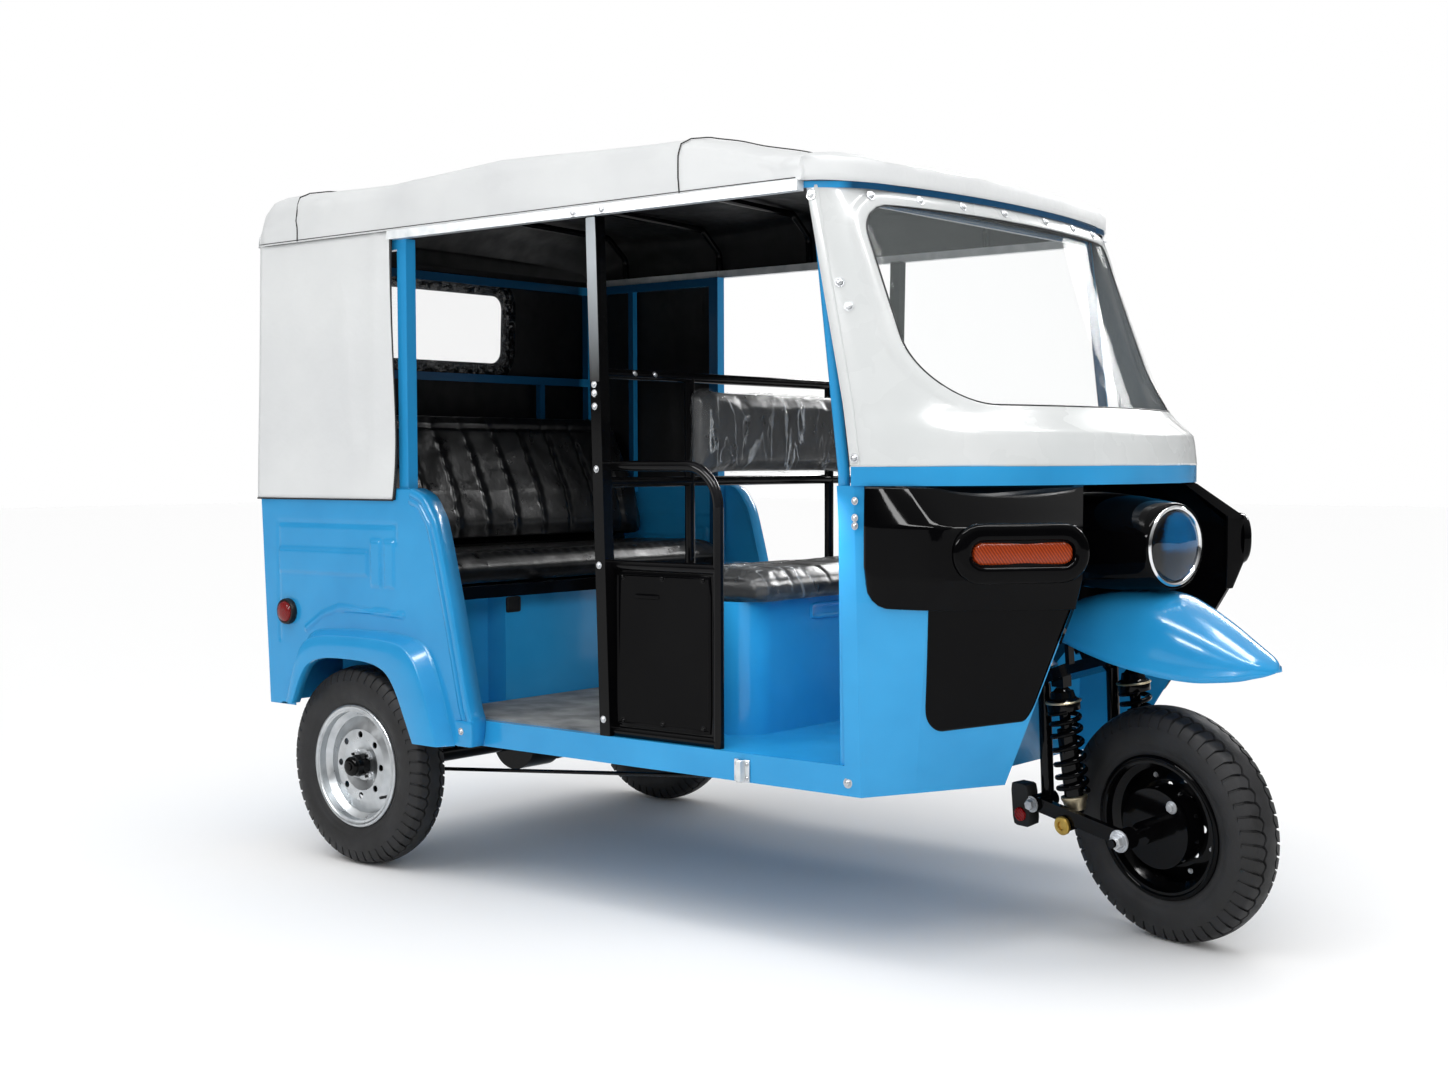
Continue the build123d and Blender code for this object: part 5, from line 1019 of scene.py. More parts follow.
def channel(distance, width, depth):
    return -depth * exp(-(distance / width) ** 2)


def held_above(z):
    return lambda p, n: Vector((0, 0, max(0, z + 0.0008 - p.z)))


PLEATS = [-0.46 + 0.115 * k for k in range(9)]


def passenger_seat():
    low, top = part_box("passenger_seat_back")
    foot_z, head_z, foot_x, head_x = low.z, top.z, REAR_X - 0.020, REAR_X - 0.160
    outline = [(foot_x - 0.012, foot_z + 0.006), (foot_x - 0.048, foot_z + 0.15), (head_x - 0.010, head_z - 0.05),
               (head_x - 0.022, head_z - 0.010), (head_x - 0.050, head_z - 0.008), (head_x - 0.062, head_z - 0.03),
               (foot_x - 0.088, foot_z + 0.02), (foot_x - 0.080, foot_z + 0.006)]
    slope = atan2(foot_x - head_x, head_z - foot_z)
    ahead = Vector((cos(slope), 0, sin(slope)))

    def pleats(p, n):
        facing = max(0, n.dot(ahead))
        share = (p.z - foot_z) / (head_z - foot_z)
        deep = 0.010 * facing * sin(pi * clamp((share - 0.02) / 0.9)) ** 0.35
        near = min(abs(p.y - y) for y in PLEATS)
        return n * (sum(channel(p.y - y, 0.006, deep) for y in PLEATS)
                    + channel(p.z - head_z + 0.055, 0.006, 0.007 * facing)
                    + 0.0025 * noise.noise(p * 14) * facing
                    + 0.0020 * facing * sin(p.z * 150 + p.y * 30) * exp(-(near / 0.012) ** 2))

    bar = prism(outline, -0.590, 0.590, 48, 0.04)
    cushion("backrest_cushion", "passenger_seat_back", bar, 0.008, 0.016, 0.7, pleats)
    low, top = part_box("passenger_seat_cushion")
    x0, x1, z0, z1 = low.x + 0.010, top.x - 0.012, low.z + 0.003, top.z - 0.011
    outline = [(x0, z0), (x0, z1), (x1 - 0.06, z1), (x1 - 0.02, z1 - 0.006), (x1, z1 - 0.028), (x1 - 0.002, z0 + 0.02),
               (x1 - 0.02, z0)]

    def rolls(p, n):
        up, front = max(0, n.z), max(0, n.x)
        shift = n * (channel(p.x - x1 + 0.075, 0.007, 0.010 * up) + channel(p.z - z0 - 0.02, 0.005, 0.004 * front)
                     + 0.0022 * noise.noise(Vector((p.x * 10, p.y * 6, p.z * 10))) * (up + front)
                     + 0.0016 * sin(p.y * 160) * exp(-((p.x - x1 + 0.06) / 0.02) ** 2) * up)
        if p.z + shift.z > top.z - 0.0008 and p.x < REAR_X + 0.02:      # under the backrest
            shift.z = top.z - 0.0008 - p.z
        return shift

    bar = prism(outline, -0.592, 0.592, 48, 0.03)
    cushion("seat_cushion", "passenger_seat_cushion", bar, 0.008, 0.012, 0.75, rolls, held_above(low.z))


def driver_seat():
    low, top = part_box("driver_seat_cushion")
    x0, x1, z0, z1 = low.x + 0.012, top.x - 0.012, low.z + 0.003, top.z - 0.012
    outline = [(x0, z0), (x0, z1 - 0.012), (x0 + 0.03, z1), (x1 - 0.05, z1), (x1 - 0.015, z1 - 0.008), (x1, z1 - 0.03),
               (x1, z0 + 0.015), (x1 - 0.012, z0)]
    seams = [low.y + 0.9 * k / 6 for k in range(1, 6)]

    def sewn(p, n):
        up = max(0, n.z)
        return n * (sum(channel(p.y - y, 0.005, 0.0055 * up) for y in seams)
                    + sum(channel(p.x - x, 0.005, 0.0045 * up) for x in (x0 + 0.10, x1 - 0.075))
                    + channel(p.z - z1 + 0.016, 0.0035, 0.004 * max(0, 1 - up))
                    + 0.003 * noise.noise(Vector((p.x * 12, p.y * 7, p.z * 12))))

    bar = prism(outline, low.y + 0.010, top.y - 0.010, 40, 0.03)
    bench = cushion("bench_cushion", "driver_seat_cushion", bar, 0.007, 0.013, 0.75, sewn, held_above(low.z))
    low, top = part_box("driver_backrest_pad")
    x0, x1, z0, z1 = low.x + 0.010, top.x - 0.008, low.z + 0.008, top.z - 0.008
    outline = [(x0, z0), (x0, z1), (x1 - 0.012, z1), (x1, z1 - 0.016), (x1, z0 + 0.016), (x1 - 0.012, z0)]
    behind = low.x + 0.0006
    bar = prism(outline, low.y + 0.010, top.y - 0.010, 34, 0.03)
    pad = cushion("driver_pad", "driver_backrest_pad", bar, 0.007, 0.012, 0.7,
                  lambda p, n: Vector((max(0, behind - p.x), 0, 0)))
    film_wrap("driver_pad_film", pad, lambda p: True)
    film_wrap("bench_corner_film", bench, lambda p: p.y < -0.20 and p.x < REAR_X + 1.245)


def creased(p, scale, deep):
    """Sharp creases of loose film: ridged noise along slanting lines."""
    q = Vector((p.x * scale, (p.y + p.z * 0.35) * scale * 0.55, (p.z - p.y * 0.2) * scale * 1.1))
    fine = 1 - abs(noise.noise(q * 2.3 + Vector((7, 3, 1)))) * 2.4
    return deep * max(0, 1 - abs(noise.noise(q)) * 2.6) ** 3 + deep * 0.45 * max(0, fine) ** 3


def renumbered(faces):
    """The points that some faces use, and the faces numbered after them."""
    used = {}
    quads = [tuple(used.setdefault(i, len(used)) for i in face) for face in faces]
    return list(used), quads


def film_wrap(name, padded, keep):
    """The clear film that part of a padded piece is still wrapped in."""
    points = padded.data.vertices
    used, faces = renumbered(face.vertices for face in padded.data.polygons
                             if all(keep(points[i].co) for i in face.vertices))
    film = [points[i].co + points[i].normal * (0.0012 + creased(points[i].co, 24, 0.0042)) for i in used]
    piece(name, (film, faces), "body", FILM_WRAP_PAINTED_HIGHLIGHTS, crease=None)


passenger_seat()
driver_seat()


# ---------------------------------------------------------------- pressed side panels
PANEL_HALF = 0.665
# ahead of the rear axle and height, the front edge from its foot up
FRONT_EDGE = [(0.470, 0.367), (0.478, 0.432), (0.461, 0.487), (0.409, 0.713), (0.355, 0.916), (0.330, 0.968),
              (0.300, 1.004), (0.256, 1.022)]
# rings of the arch's flare: its line's rear, front, shoulder and top, and how far out
FLARE = [(-0.272, 0.408, 0.605, 0.645, 0.000), (-0.268, 0.404, 0.600, 0.640, 0.0012),
         (-0.266, 0.401, 0.597, 0.637, 0.006), (-0.252, 0.386, 0.587, 0.629, 0.037),
         (-0.250, 0.384, 0.585, 0.627, 0.0405), (-0.248, 0.381, 0.583, 0.625, 0.042),
         (-0.238, 0.330, 0.556, 0.594, 0.042), (-0.232, 0.294, 0.535, 0.569, 0.042),
         (-0.2303, 0.2905, 0.5325, 0.5665, 0.0410), (-0.230, 0.290, 0.532, 0.566, 0.038),
         (-0.230, 0.290, 0.532, 0.566, 0.012)]
# the folded front edge: distance in from the edge, how far out
FOLDED_EDGE = [(0.0, -0.043), (0.0, -0.006), (0.0, 0.001), (0.0012, 0.0042), (0.004, 0.0058), (0.016, 0.0060),
               (0.0195, 0.0048), (0.022, 0.0016), (0.0245, 0.0012), (0.027, 0.0034), (0.0315, 0.0045), (0.036, 0.0034),
               (0.040, 0.0010), (0.044, -0.0004)]
# pressed out: x from and to, z from and to, how soft
BARS = [(-0.297, 0.072, 0.792, 0.850, 0.007), (0.093, 0.125, 0.764, 0.879, 0.006), (0.148, 0.179, 0.764, 0.879, 0.006)]
SWAGE = [(-0.186, 0.634), (-0.119, 0.674), (-0.051, 0.696), (0.083, 0.694), (0.214, 0.688)]
SUNK = [((-0.305, 0.925), (0.184, 0.925)), ((-0.305, 0.925), (-0.305, 0.60)), ((0.188, 0.925), (0.188, 0.88))]


def soft(share):
    share = clamp(share)
    return share * share * (3 - 2 * share)


def line_gap(x, z, a, b):
    """Distance from a point to a straight run."""
    dx, dz = b[0] - a[0], b[1] - a[1]
    t = clamp(((x - a[0]) * dx + (z - a[1]) * dz) / (dx * dx + dz * dz))
    return hypot(x - a[0] - dx * t, z - a[1] - dz * t)


def pressing(x, z):
    """How far the sheet is pressed out: a long bar, two uprights and a swage over the arch, in a sunk border."""
    out = max(soft(1 - max(x0 - x, x - x1, z0 - z, z - z1) / slope) for x0, x1, z0, z1, slope in BARS)
    if 0.60 < z < 0.72:
        out = max(out, soft(1.7 - min(line_gap(x, z, a, b) for a, b in zip(SWAGE, SWAGE[1:])) / 0.0055))
    border = min(line_gap(x, z, a, b) for a, b in SUNK)
    return 0.005 * out - 0.0022 * exp(-(border / 0.006) ** 2)


def arch_line(rear, front, foot, shoulder, top):
    """The wheel arch's line with its corners eased, in 61 points from the rear foot to the front one."""
    line = [Vector(c) for c in ((rear, foot), (rear + 0.072, shoulder), (rear + 0.150, top), (front - 0.160, top),
                                (front - 0.080, shoulder), (front, foot))]
    for _ in range(3):
        cut = [p for a, b in zip(line, line[1:]) for p in (a.lerp(b, 0.22), a.lerp(b, 0.78))]
        line = [line[0], *cut, line[-1]]
    last = len(line) - 1
    steps = [min(last + 1, (last + 1) * k / 60) for k in range(61)]
    return [line[int(s)].lerp(line[int(s) + 1], s - int(s)) if s < last else line[-1] for s in steps]


def facing(mesh, side):
    """Turns an open form's faces away from the vehicle's middle plane."""
    points, faces = mesh
    total = sum((Vector(points[b]) - Vector(points[a])).cross(Vector(points[c]) - Vector(points[a])).y
                for a, b, c, *_ in faces)
    return points, [face[::-1] for face in faces] if total * side < 0 else faces


def panel_skin():
    """The pressed sheet between the sill, the front edge and the arch: points (x, out, z), and its faces."""
    cut = arch_line(-0.262, 0.398, 0.356, 0.594, 0.633)

    def in_arch(x, _, z):
        if not -0.262 < x < 0.398 or z > 0.633:
            return False
        for a, b in zip(cut, cut[1:]):
            if min(a.x, b.x) <= x <= max(a.x, b.x) and a.x != b.x:
                return z < a.y + (b.y - a.y) * (x - a.x) / (b.x - a.x)
        return True

    skin = []
    for z in [0.367 + 0.655 * j / 146 for j in range(147)]:
        x0 = -0.385 + 0.030 * (1.022 - z) / 0.605
        x1 = straight_at([(h, x) for x, h in FRONT_EDGE], z)[1] - 0.003
        for x in [x0 + (x1 - x0) * k / 192 for k in range(193)]:
            h = max(z, 0.417 if x < -0.19 else 0.367)
            edge = min(1, (x - x0) / 0.004, (1.022 - h) / 0.004 + 0.001)
            skin.append((x, pressing(x, h) - 0.004 * (1 - sqrt(1 - (1 - edge) ** 2))
                         + 0.0004 * noise.noise(Vector((x * 6, h * 6, 1))), h))
    used, faces = renumbered(quad for quad in grid(skin, 193)[1] if skin[quad[2]][2] - skin[quad[1]][2] >= 1e-6
                             and not all(in_arch(*skin[i]) for i in quad))
    return [skin[i] for i in used], faces


def side_panels():
    skin, skin_faces = panel_skin()
    flare = [(p.x, out, max(p.y, 0.429) if p.x < 0 else p.y) for rear, front, shoulder, top, out in FLARE
             for p in arch_line(rear, front, 0.366, shoulder, top)]
    path = [Vector(flowing(FRONT_EDGE, k / 90)) for k in range(91)]
    lip = []
    for inward, out in FOLDED_EDGE:
        for k, p in enumerate(path):
            ahead = (path[min(k + 1, 90)] - path[max(k - 1, 0)]).normalized()
            p = p + Vector((-ahead.y, ahead.x)) * inward
            lip.append((p.x, out, min(p.y, 1.0222)))
    for side, name in SIDES:
        parts = [facing(([(REAR_X + x, side * (PANEL_HALF + out), z) for x, out, z in points], faces), side)
                 for points, faces in ((skin, skin_faces), grid(flare, 61), grid(lip, 91))]
        piece("side_panel_" + name, parts, "body", BLUE, wall=0.002, stands_for="rear_side_panels")
        # the bolted corner plate at the sill's end
        plate = plate_mesh(lambda u, v, w: (REAR_X + 0.448 + u, side * (PANEL_HALF + w), 0.400 + v), (0.062, 0.066),
                           0.005, [(0, 0.0005), (0, 0.0062), (0.0008, 0.0078), (0.003, 0.0085)], least=0.005,
                           flip=side > 0)
        piece("sill_corner_plate_" + name, plate, "body", BLUE)
        bolt = head_mesh((REAR_X + 0.441, side * (PANEL_HALF + 0.0082), 0.406), (0, side, 0), 0.006)
        piece("sill_corner_bolt_" + name, bolt, "body", ZINC)


side_panels()


# ---------------------------------------------------------------- fork details
SHOCK_LOW = Vector((FRONT_X - 0.172, 0, AXLE_Z + 0.004))
SHOCK_ALONG = (Vector((FRONT_X - 0.195, 0, 0.585)) - SHOCK_LOW).normalized()
DAMPER = [(0.016, 0.012), (0.020, 0.0185), (0.058, 0.0185), (0.060, 0.022), (0.215, 0.022), (0.217, 0.013),
          (0.262, 0.013), (0.264, 0.026), (0.300, 0.024), (0.311, 0.014)]
DAMPER_HEAD = [(0.258, 0.030), (0.259, 0.0375), (0.276, 0.0385), (0.283, 0.036), (0.288, 0.029), (0.302, 0.026),
               (0.304, 0.016)]
LOWER_SEAT = [(0.026, 0.0195), (0.028, 0.0235), (0.046, 0.0265), (0.052, 0.030), (0.0585, 0.0305), (0.060, 0.024)]
UPPER_SEAT = [(0.276, 0.030), (0.2765, 0.0405), (0.279, 0.0415), (0.281, 0.0400), (0.2815, 0.030)]
SHOCK_EYE = [(-0.002, 0.0085), (-0.0015, 0.0205), (0.0, 0.0218), (0.006, 0.0218), (0.0085, 0.0195), (0.0088, 0.0105),
             (0.004, 0.0095)]
BUSH = [(-0.0155, 0.008), (-0.0155, 0.0145), (0.0155, 0.0145), (0.0155, 0.008)]
TOP_NUT = [(0, 0.021), (0.004, 0.0215), (0.006, 0.017), (0.030, 0.0115), (0.032, 0.009), (0.048, 0.0085),
           (0.050, 0.0065)]


def spring_mesh(low):
    """A coil of 6.8 turns whose end coils lie closer."""
    a = SHOCK_ALONG.orthogonal().normalized()
    b = SHOCK_ALONG.cross(a)
    path = []
    for k in range(177):
        turn, share = 2 * pi * k / 26, k / (6.8 * 26)
        rise = 0.192 * (share - 0.030 * sin(2 * pi * share))
        path.append(low + SHOCK_ALONG * rise + (a * cos(turn) + b * sin(turn)) * 0.0325)
    return tube_mesh(path, 0.0064, 10)


def both(make):
    """The right and the left one of a form."""
    return [make(side) for side in (-1, 1)]


def shock_absorbers():
    def on_shock(profile, around):
        return both(lambda side: turned_mesh(profile, SHOCK_LOW + SIDEWAYS * side * 0.122, SHOCK_ALONG, around))

    parts = (
        ("dampers", on_shock(DAMPER, 24) + on_shock(DAMPER_HEAD, 40), BLACK_COAT, "shock_steel", 40),
        ("springs", both(lambda side: spring_mesh(SHOCK_LOW + SIDEWAYS * side * 0.122 + SHOCK_ALONG * 0.068)),
         BLACK_GLOSS, "shock_steel", 60),
        ("spring_seats", on_shock(LOWER_SEAT, 40) + on_shock(UPPER_SEAT, 40), CHAMPAGNE, "shock_steel", 40),
        ("eyes", both(lambda side: turned_mesh(SHOCK_EYE, SHOCK_LOW + SIDEWAYS * side * 0.168, SIDEWAYS * side)), BRASS,
         "shock_steel", 40),
        ("bushes", both(lambda side: turned_mesh(BUSH, SHOCK_LOW + SIDEWAYS * side * 0.122, SIDEWAYS, 24)), RUBBER,
         "black_trim_plastic", 40),
        ("top_nuts", both(lambda side: turned_mesh(TOP_NUT, (axis_x(0.612) - 0.020, side * 0.122, 0.626), AXIS, 24)),
         ZINC, "shock_steel", 40))
    for name, mesh, finish, slot, crease in parts:
        piece("shock_" + name, mesh, "steering", finish, crease,
              stands_for="front_shocks" if name == "dampers" else None)


def fork_fastenings():
    nuts = both(lambda side: head_mesh(front_hub + SIDEWAYS * side * 0.1765, (0, side, 0), 0.0165, True))
    nuts += both(lambda side: turned_mesh([(0, 0.0102), (0.022, 0.0102), (0.0235, 0.0085), (0.024, 0.001)],
                                          front_hub + SIDEWAYS * side * 0.1765, (0, side, 0), 16))
    nuts.append(head_mesh(front_hub + Vector((0.052, -0.0585, 0.058)), (0, -1, 0), 0.0095, True))
    nuts.append(head_mesh(front_hub + Vector((-0.060, -0.0585, -0.030)), (0, -1, 0), 0.007))
    cases, lenses = [], []
    for side in (-1, 1):
        place = front_hub + Vector((-0.262, side * 0.1725, 0.040))
        nuts.append(head_mesh(place, (0, side, 0), 0.0125, True))
        rings = [place + Vector((-0.034 + u, side * out, -0.006 + v))
                 for out, width, height, corner in ((-0.030, 0.052, 0.100, 0.010), (0.001, 0.054, 0.104, 0.011),
                                                    (0.004, 0.050, 0.100, 0.010), (0.0045, 0.024, 0.072, 0.006))
                 for u, v in rounded_loop(width, height, corner, 6)]
        cases.append(ends(grid(rings, 24, ring=True), 24, flip=True))       # wound so that the caps' edges stay sharp
        lenses.append(turned_mesh([(0, 0.0165), (0.004, 0.0160), (0.0065, 0.012), (0.0075, 0.001)],
                                  place + Vector((-0.034, side * 0.0044, -0.028)), (0, side, 0), 20))
    piece("fork_nuts", nuts, "steering", ZINC)
    piece("leg_reflector_cases", cases, "steering", BLACK_MATT, out="all")
    piece("leg_reflectors", lenses, "steering", RED)


# ---------------------------------------------------------------- wheel fastenings
RIM_BEAD = [(-0.0005, 0.1535), (0.0022, 0.1555), (0.0034, 0.160), (0.0026, 0.1648), (-0.0006, 0.1668), (-0.004, 0.1662)]
HUB_CAP = [(-0.004, 0.0245), (0.001, 0.0265), (0.009, 0.0262), (0.013, 0.0235), (0.015, 0.018), (0.0152, 0.011),
           (0.019, 0.0105), (0.0195, 0.001)]
VALVE = [(0, 0.0052), (0.006, 0.0045), (0.018, 0.0036), (0.019, 0.0042), (0.030, 0.0042), (0.0305, 0.001)]


def bolt_ring(hub, side, radius, out, count, start, size):
    turns = [2 * pi * k / count + start for k in range(count)]
    return [head_mesh(hub + Vector((radius * sin(turn), side * out, radius * cos(turn))), (0, side, 0), size, True)
            for turn in turns]


def rim_bead(hub, side):
    points, faces = turned_mesh(RIM_BEAD, hub + SIDEWAYS * side * 0.0478, (0, side, 0), 72)
    return points, faces[:-2]


def wheel_fastenings():
    for hub, (side, name) in zip((right_hub, left_hub), SIDES):
        out, body = (0, side, 0), "rear_wheel_" + name
        piece("wheel_nuts_" + name, bolt_ring(hub, side, 0.039, 0.0183, 4, pi / 4, 0.0085), body, ZINC)
        piece("hub_cap_" + name, turned_mesh(HUB_CAP, hub + SIDEWAYS * side * 0.052, out), body, BLACK_COAT)
        valve = hub + Vector((0.128 * sin(2.2), side * 0.018, 0.128 * cos(2.2)))
        piece("valve_" + name, turned_mesh(VALVE, valve, out, 12), body, RUBBER)
        piece("rim_bead_" + name, rim_bead(hub, side), body, SILVER_PAINT, crease=60)
    bolts = bolt_ring(front_hub, -1, 0.113, -0.0068, 8, 0.4, 0.0042)
    bolts += bolt_ring(front_hub, 1, 0.0445, 0.0162, 5, 0.2, 0.0085)
    piece("front_rim_bolts", bolts, "front_wheel", ZINC)
    piece("front_rim_bead", both(lambda side: rim_bead(front_hub, side)), "front_wheel", BLACK_GLOSS,
          crease=60)


# ---------------------------------------------------------------- lamps on the body
LAMP_RIM = [(0.0, 0.0345), (0.004, 0.0362), (0.013, 0.0358), (0.0168, 0.034), (0.0176, 0.0295), (0.014, 0.0285)]
LAMP_DOME = [(0.010, 0.0288), (0.0175, 0.0282), (0.021, 0.026), (0.0235, 0.020), (0.0245, 0.011), (0.0248, 0.001)]


def body_lamps():
    wall_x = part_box("tail_lamps")[0].x + 0.0305

    def tail_lamp(side, y0, width, height, depth):
        rings = [(wall_x - x, side * y0 + u, 0.880 + v) for grow, x in (
            (0, 0.001), (0, depth - 0.004), (0.0016, depth - 0.001), (0.006, depth), (0.012, depth + 0.0006))
            for u, v in rounded_loop(width - 2 * grow, height - 2 * grow, max(0.010 - grow, 0.001), 8)]
        return ends(grid(rings, 32, ring=True, flip=True), 32, flip=True)

    def side_lamp(profile):
        return both(lambda side: turned_mesh(profile, (REAR_X - 0.263, side * 0.664, 0.678), (0, side, 0), 48))

    red = side_lamp(LAMP_DOME) + both(lambda side: tail_lamp(side, 0.575, 0.060, 0.066, 0.031))
    piece("lamp_lenses_red", red, "body", RED, crease=50, out="all", stands_for="tail_lamps")
    cases = side_lamp(LAMP_RIM) + both(lambda side: tail_lamp(side, 0.540, 0.146, 0.080, 0.022))
    piece("lamp_cases", cases, "body", BLACK_MATT, out="all")
    amber = both(lambda side: tail_lamp(side, 0.507, 0.060, 0.066, 0.031))
    piece("lamp_lenses_amber", amber, "body", AMBER, crease=50, out="all")


# ---------------------------------------------------------------- small fittings on the body
def pillar_y(z):
    """Outer face of the centre pillars."""
    return 0.620 + 0.040 * (z - 0.430) / 1.26


WASHER = [(0.0, 0.0100), (0.0011, 0.0100), (0.0014, 0.0094), (0.0014, 0.0060)]
# x, y and z of the right one of each pair of bolts on the body, and its size
PAIRED_BOLTS = [(PILLAR_A + 0.012, 0.6405, z, 0.0055) for z in (1.004, 0.968, 0.951)]
PAIRED_BOLTS += [(PILLAR_B - 0.003, pillar_y(z) + 0.0004, z, 0.0055)
                 for z in (1.273, 1.252, 1.221, 1.072, 0.842, 0.470)]
PAIRED_BOLTS += [(PILLAR_B - 0.040, 0.6750, 1.678, 0.0065), (PILLAR_B + 0.052, 0.6750, 1.678, 0.0065),
                 (REAR_X + 1.605, 0.620, 0.394, 0.0075)]


def body_bolts():
    bolts, washers = [], []
    spots = [(asin(share), 1.662, 0.0078) for share in (0.15, 0.40, 0.62, 0.83, -0.15, -0.40, -0.62, -0.83)]
    spots += [(side * angle, z, out) for side in (-1, 1) for z, angle, out in
              ((1.660, 1.515, 0.0028), (1.470, 1.40, 0.0), (1.418, 1.37, 0.0), (1.095, 1.535, 0.0028))]
    for turn, z, out in spots:
        along = on_fairing(turn + 0.01, z) - on_fairing(turn - 0.01, z)
        normal = along.cross(on_fairing(turn, z + 0.01) - on_fairing(turn, z - 0.01)).normalized()
        bolts.append(head_mesh(on_fairing(turn, z, out + 0.001), normal, 0.0070))
        washers.append(turned_mesh(WASHER, on_fairing(turn, z, out), normal, 24))
    bolts += [head_mesh((x, side * y, z), (0, side, 0), size) for x, y, z, size in PAIRED_BOLTS for side in (-1, 1)]
    bolts += [head_mesh((REAR_X + 0.9025, y, 1.303), (0.9, 0, 0.4), 0.005) for y in (-0.519, -0.445, 0.445, 0.519)]
    dark = [head_mesh((REAR_X + x, -0.6022, z), (0, -1, 0), 0.0055)
            for x in (0.935, 1.06, 1.185) for z in (0.470, 0.815)]
    piece("body_bolts", bolts, "body", ZINC)
    piece("fairing_washers", washers, "body", RUBBER)
    piece("guard_panel_bolts", dark, "body", BLACK_COAT)


def on_guard(u, v, w):
    return REAR_X + 1.0605 + u, -0.6020 - w, 0.6425 + v


def panels_and_plates():
    # the guard's sheet: a flat frame along its edge and a field pressed in; then covers on the centre pillars, the
    # pressed frame on the driver's box and the grommet on the passengers' one
    plates = (
        ("guard_sheet_frame", [
            plate_mesh(on_guard, (0.300, 0.372), 0.012, [(0, 0.0), (0.0008, 0.0028), (0.002, 0.0035), (0.008, 0.0035),
                                                         (0.011, 0.0004), (0.013, 0.0002)]),
            plate_mesh(lambda u, v, w: on_guard(u - 0.048, v + 0.128, w), (0.074, 0.013), 0.003,
                       [(0, 0.0), (0.0006, 0.002), (0.0016, 0.003), (0.004, 0.0032)])],
         BLACK_GLOSS, "frame_black_paint"),
        ("centre_pillar_covers", both(lambda side: plate_mesh(
            lambda u, v, w: (PILLAR_B + u, side * (pillar_y(1.4725 + v) + w), 1.4725 + v), (0.0305, 0.386), 0.003,
            [(0, 0.0002), (0, 0.0008), (0.0006, 0.0014), (0.004, 0.0016)])), PILLAR_FADE, "frame_black_paint"),
        ("seat_box_pressing", plate_mesh(
            lambda u, v, w: (REAR_X + 1.180 + w, -0.078 + u, 0.717 + v), (0.205, 0.042), 0.012,
            [(0, 0.0002), (0.001, 0.003), (0.004, 0.0042), (0.008, 0.0032), (0.011, 0.0006), (0.013, 0.0003)]), BLUE,
         "body_blue_paint"),
        ("seat_box_grommet", plate_mesh(
            lambda u, v, w: (REAR_X + 0.250 + w, -0.300 + u, 0.698 + v), (0.056, 0.044), 0.006,
            [(0, 0.0), (0.001, 0.0025), (0.004, 0.003), (0.007, 0.001), (0.010, 0.0006)]), BLACK_MATT,
         "black_trim_plastic"))
    for name, mesh, finish, slot in plates:
        piece(name, mesh, "body", finish, out="all")
    # guide for the side curtain's rod on the sill: a folded bracket with two screws on each flange
    section = [(-0.021, 0.001), (-0.021, 0.003), (-0.009, 0.003), (-0.006, 0.016), (0.006, 0.016), (0.009, 0.003),
               (0.021, 0.003), (0.021, 0.001)]
    for side, name in SIDES:
        def on_sill(u, v, w):
            return REAR_X + 1.314 + u, side * (0.6202 + w), 0.391 + v

        points = [on_sill(u, v, max(w - (0.001 if abs(v) > 0.023 else 0), 0.0006))
                  for v in (-0.025, -0.022, 0.022, 0.025) for u, w in section]
        bracket = piece("curtain_rod_guide_" + name, grid(points, 8), "body", ALUMINIUM, crease=30,
                        wall=0.0015)
        bracket.modifiers["wall"].offset = 0
        screws = [head_mesh(on_sill(u, v, 0.0032), (0, side, 0), 0.0035)
                  for u in (-0.015, 0.015) for v in (-0.016, 0.016)]
        piece("curtain_rod_guide_screws_" + name, screws, "body", ZINC)


# ---------------------------------------------------------------- handlebar
GRIP = ([(0.014, 0.012), (0.015, 0.021), (0.019, 0.022)]
        + [(0.02 + 0.110 * k / 48, 0.0158 + (0.0012 if k // 2 % 2 else 0)) for k in range(49)]
        + [(0.1315, 0.019), (0.136, 0.019), (0.139, 0.014)])
SWITCHES = [(-0.040, 0.013), (-0.038, 0.021), (-0.034, 0.023), (-0.002, 0.023), (0.004, 0.021), (0.006, 0.013)]
LEVER = [(-0.014, 0.030, -0.002), (0.02, 0.050, -0.006), (0.07, 0.056, -0.010), (0.125, 0.048, -0.008)]
DIAL_CASE = [(0, 0.030), (0.006, 0.046), (0.024, 0.050), (0.032, 0.0505), (0.034, 0.048), (0.030, 0.044)]
DIAL_GLASS = [(0.0300, 0.0445), (0.0312, 0.040), (0.0318, 0.022), (0.032, 0.001)]


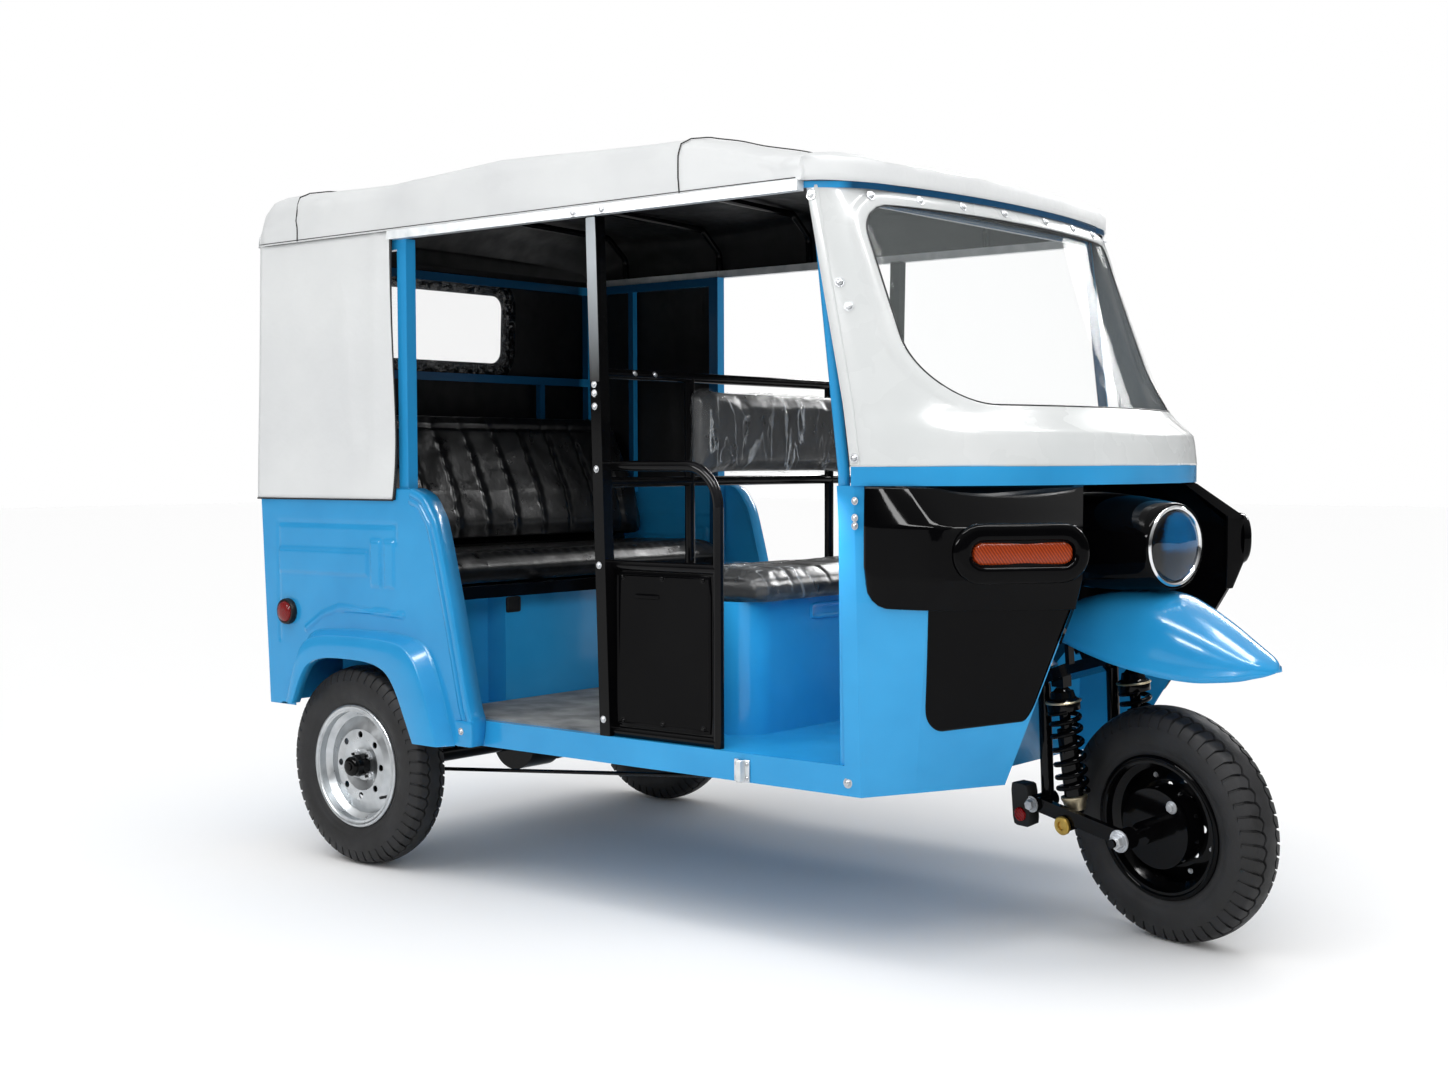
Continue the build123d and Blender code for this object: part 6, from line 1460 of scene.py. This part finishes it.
def handlebar_fittings():
    top = Vector((axis_x(1.105), 0, 1.111))
    grips, black, levers = [], [], []
    for side in (-1, 1):
        a = top + Vector((-0.060, side * 0.250, 0.040))
        along = (top + Vector((-0.090, side * 0.385, 0.040)) - a).normalized()
        grips.append(turned_mesh(GRIP, a, along, 20))
        black.append(turned_mesh(SWITCHES, a, along, 20))
        lever = [a + along * reach + Vector((ahead, 0, up)) for reach, ahead, up in LEVER]
        thin = [0.0055 - 0.0015 * k / 24 for k in range(25)]
        levers.append(tube_mesh([flowing(lever, k / 24) for k in range(25)], thin))
        pivot = a + along * -0.014 + Vector((0.012, 0, 0))
        levers.append(turned_mesh([(0, 0.0055), (0.022, 0.0055), (0.024, 0.004)], pivot, (1, 0, 0), 10))
    dial, up = top + Vector((0.008, 0, 0.022)), (-0.45, 0, 0.9)
    black.append(turned_mesh(DIAL_CASE, dial, up, 40))
    piece("handlebar_grips", grips, "steering", RUBBER)
    piece("handlebar_switches_and_dial_case", black, "steering", BLACK_MATT)
    piece("brake_levers", levers, "steering", ALUMINIUM)
    piece("dial_glass", turned_mesh(DIAL_GLASS, dial, up, 40), "steering", DIAL)


shock_absorbers()
fork_fastenings()
wheel_fastenings()
body_lamps()
body_bolts()
panels_and_plates()
handlebar_fittings()


# ---------------------------------------------------------------- studio
floor = shown("floor", bpy.data.meshes.new("floor"))
floor.data.from_pydata([(-40, -40, 0), (40, -40, 0), (40, 40, 0), (-40, 40, 0)], [], [(0, 1, 2, 3)])
floor.data.materials.append(surface("pale_floor", "fafafa", 0.8))

world = bpy.data.worlds.new("studio")
bpy.context.scene.world = world
world.use_nodes = True
tree = world.node_tree
path = add(tree, "LightPath")
height = add(tree, "SeparateXYZ", {"Vector": add(tree, "TexCoord").outputs["Generated"]}).outputs["Z"]
low_sky = ramp(tree, height, 0.15, 0.8, 0.10, 0.75)
fill = add(tree, "Mix", {"Factor": path.outputs["Is Glossy Ray"], 2: 0.56, 3: low_sky})
seen = add(tree, "Mix", {"Factor": path.outputs["Is Camera Ray"], 2: fill.outputs[0], 3: 1.0})
tree.links.new(seen.outputs[0], tree.nodes["Background"].inputs["Strength"])
tree.nodes["Background"].inputs["Color"].default_value = (1, 1, 1, 1)
bpy.context.scene.view_settings.view_transform = "Standard"
haze = shown("overhead_haze", bpy.data.lights.new("overhead_haze", "SUN"))
haze.data.energy, haze.data.angle = 1.66, radians(75)
haze.visible_glossy = False                    # highlights come from the strips and the sky alone
pointed(haze, Vector((0.05, 0.22, -1)))
soft_light("front_box", (4.4, -4.6, 2.4), (1.0, 0, 0.6), (2.4, 1.4), 50)
soft_light("nose_box", (4.6, -0.2, 2.6), (2.0, 0, 0.7), (1.2, 0.5), 8)
soft_light("strip_over_nose", (2.6, -1.5, 3.4), (2.0, -0.2, 0.9), (3.2, 0.30), 120, shine=True)
soft_light("strip_over_side", (0.4, -3.4, 2.4), (0.2, -0.4, 0.8), (2.6, 0.30), 100, shine=True)
soft_light("strip_above_nose", (2.8, 0.1, 3.4), (2.3, 0, 0.9), (2.6, 0.22), 60, shine=True)
soft_light("strip_beyond", (1.0, 4.2, 3.2), (2.2, 0, 0.9), (4.0, 0.5), 200, shine=True)
soft_light("door_reflector", (1.36, -0.60, 1.10), (1.25, 0, 0.50), (0.4, 0.5), 3.5)
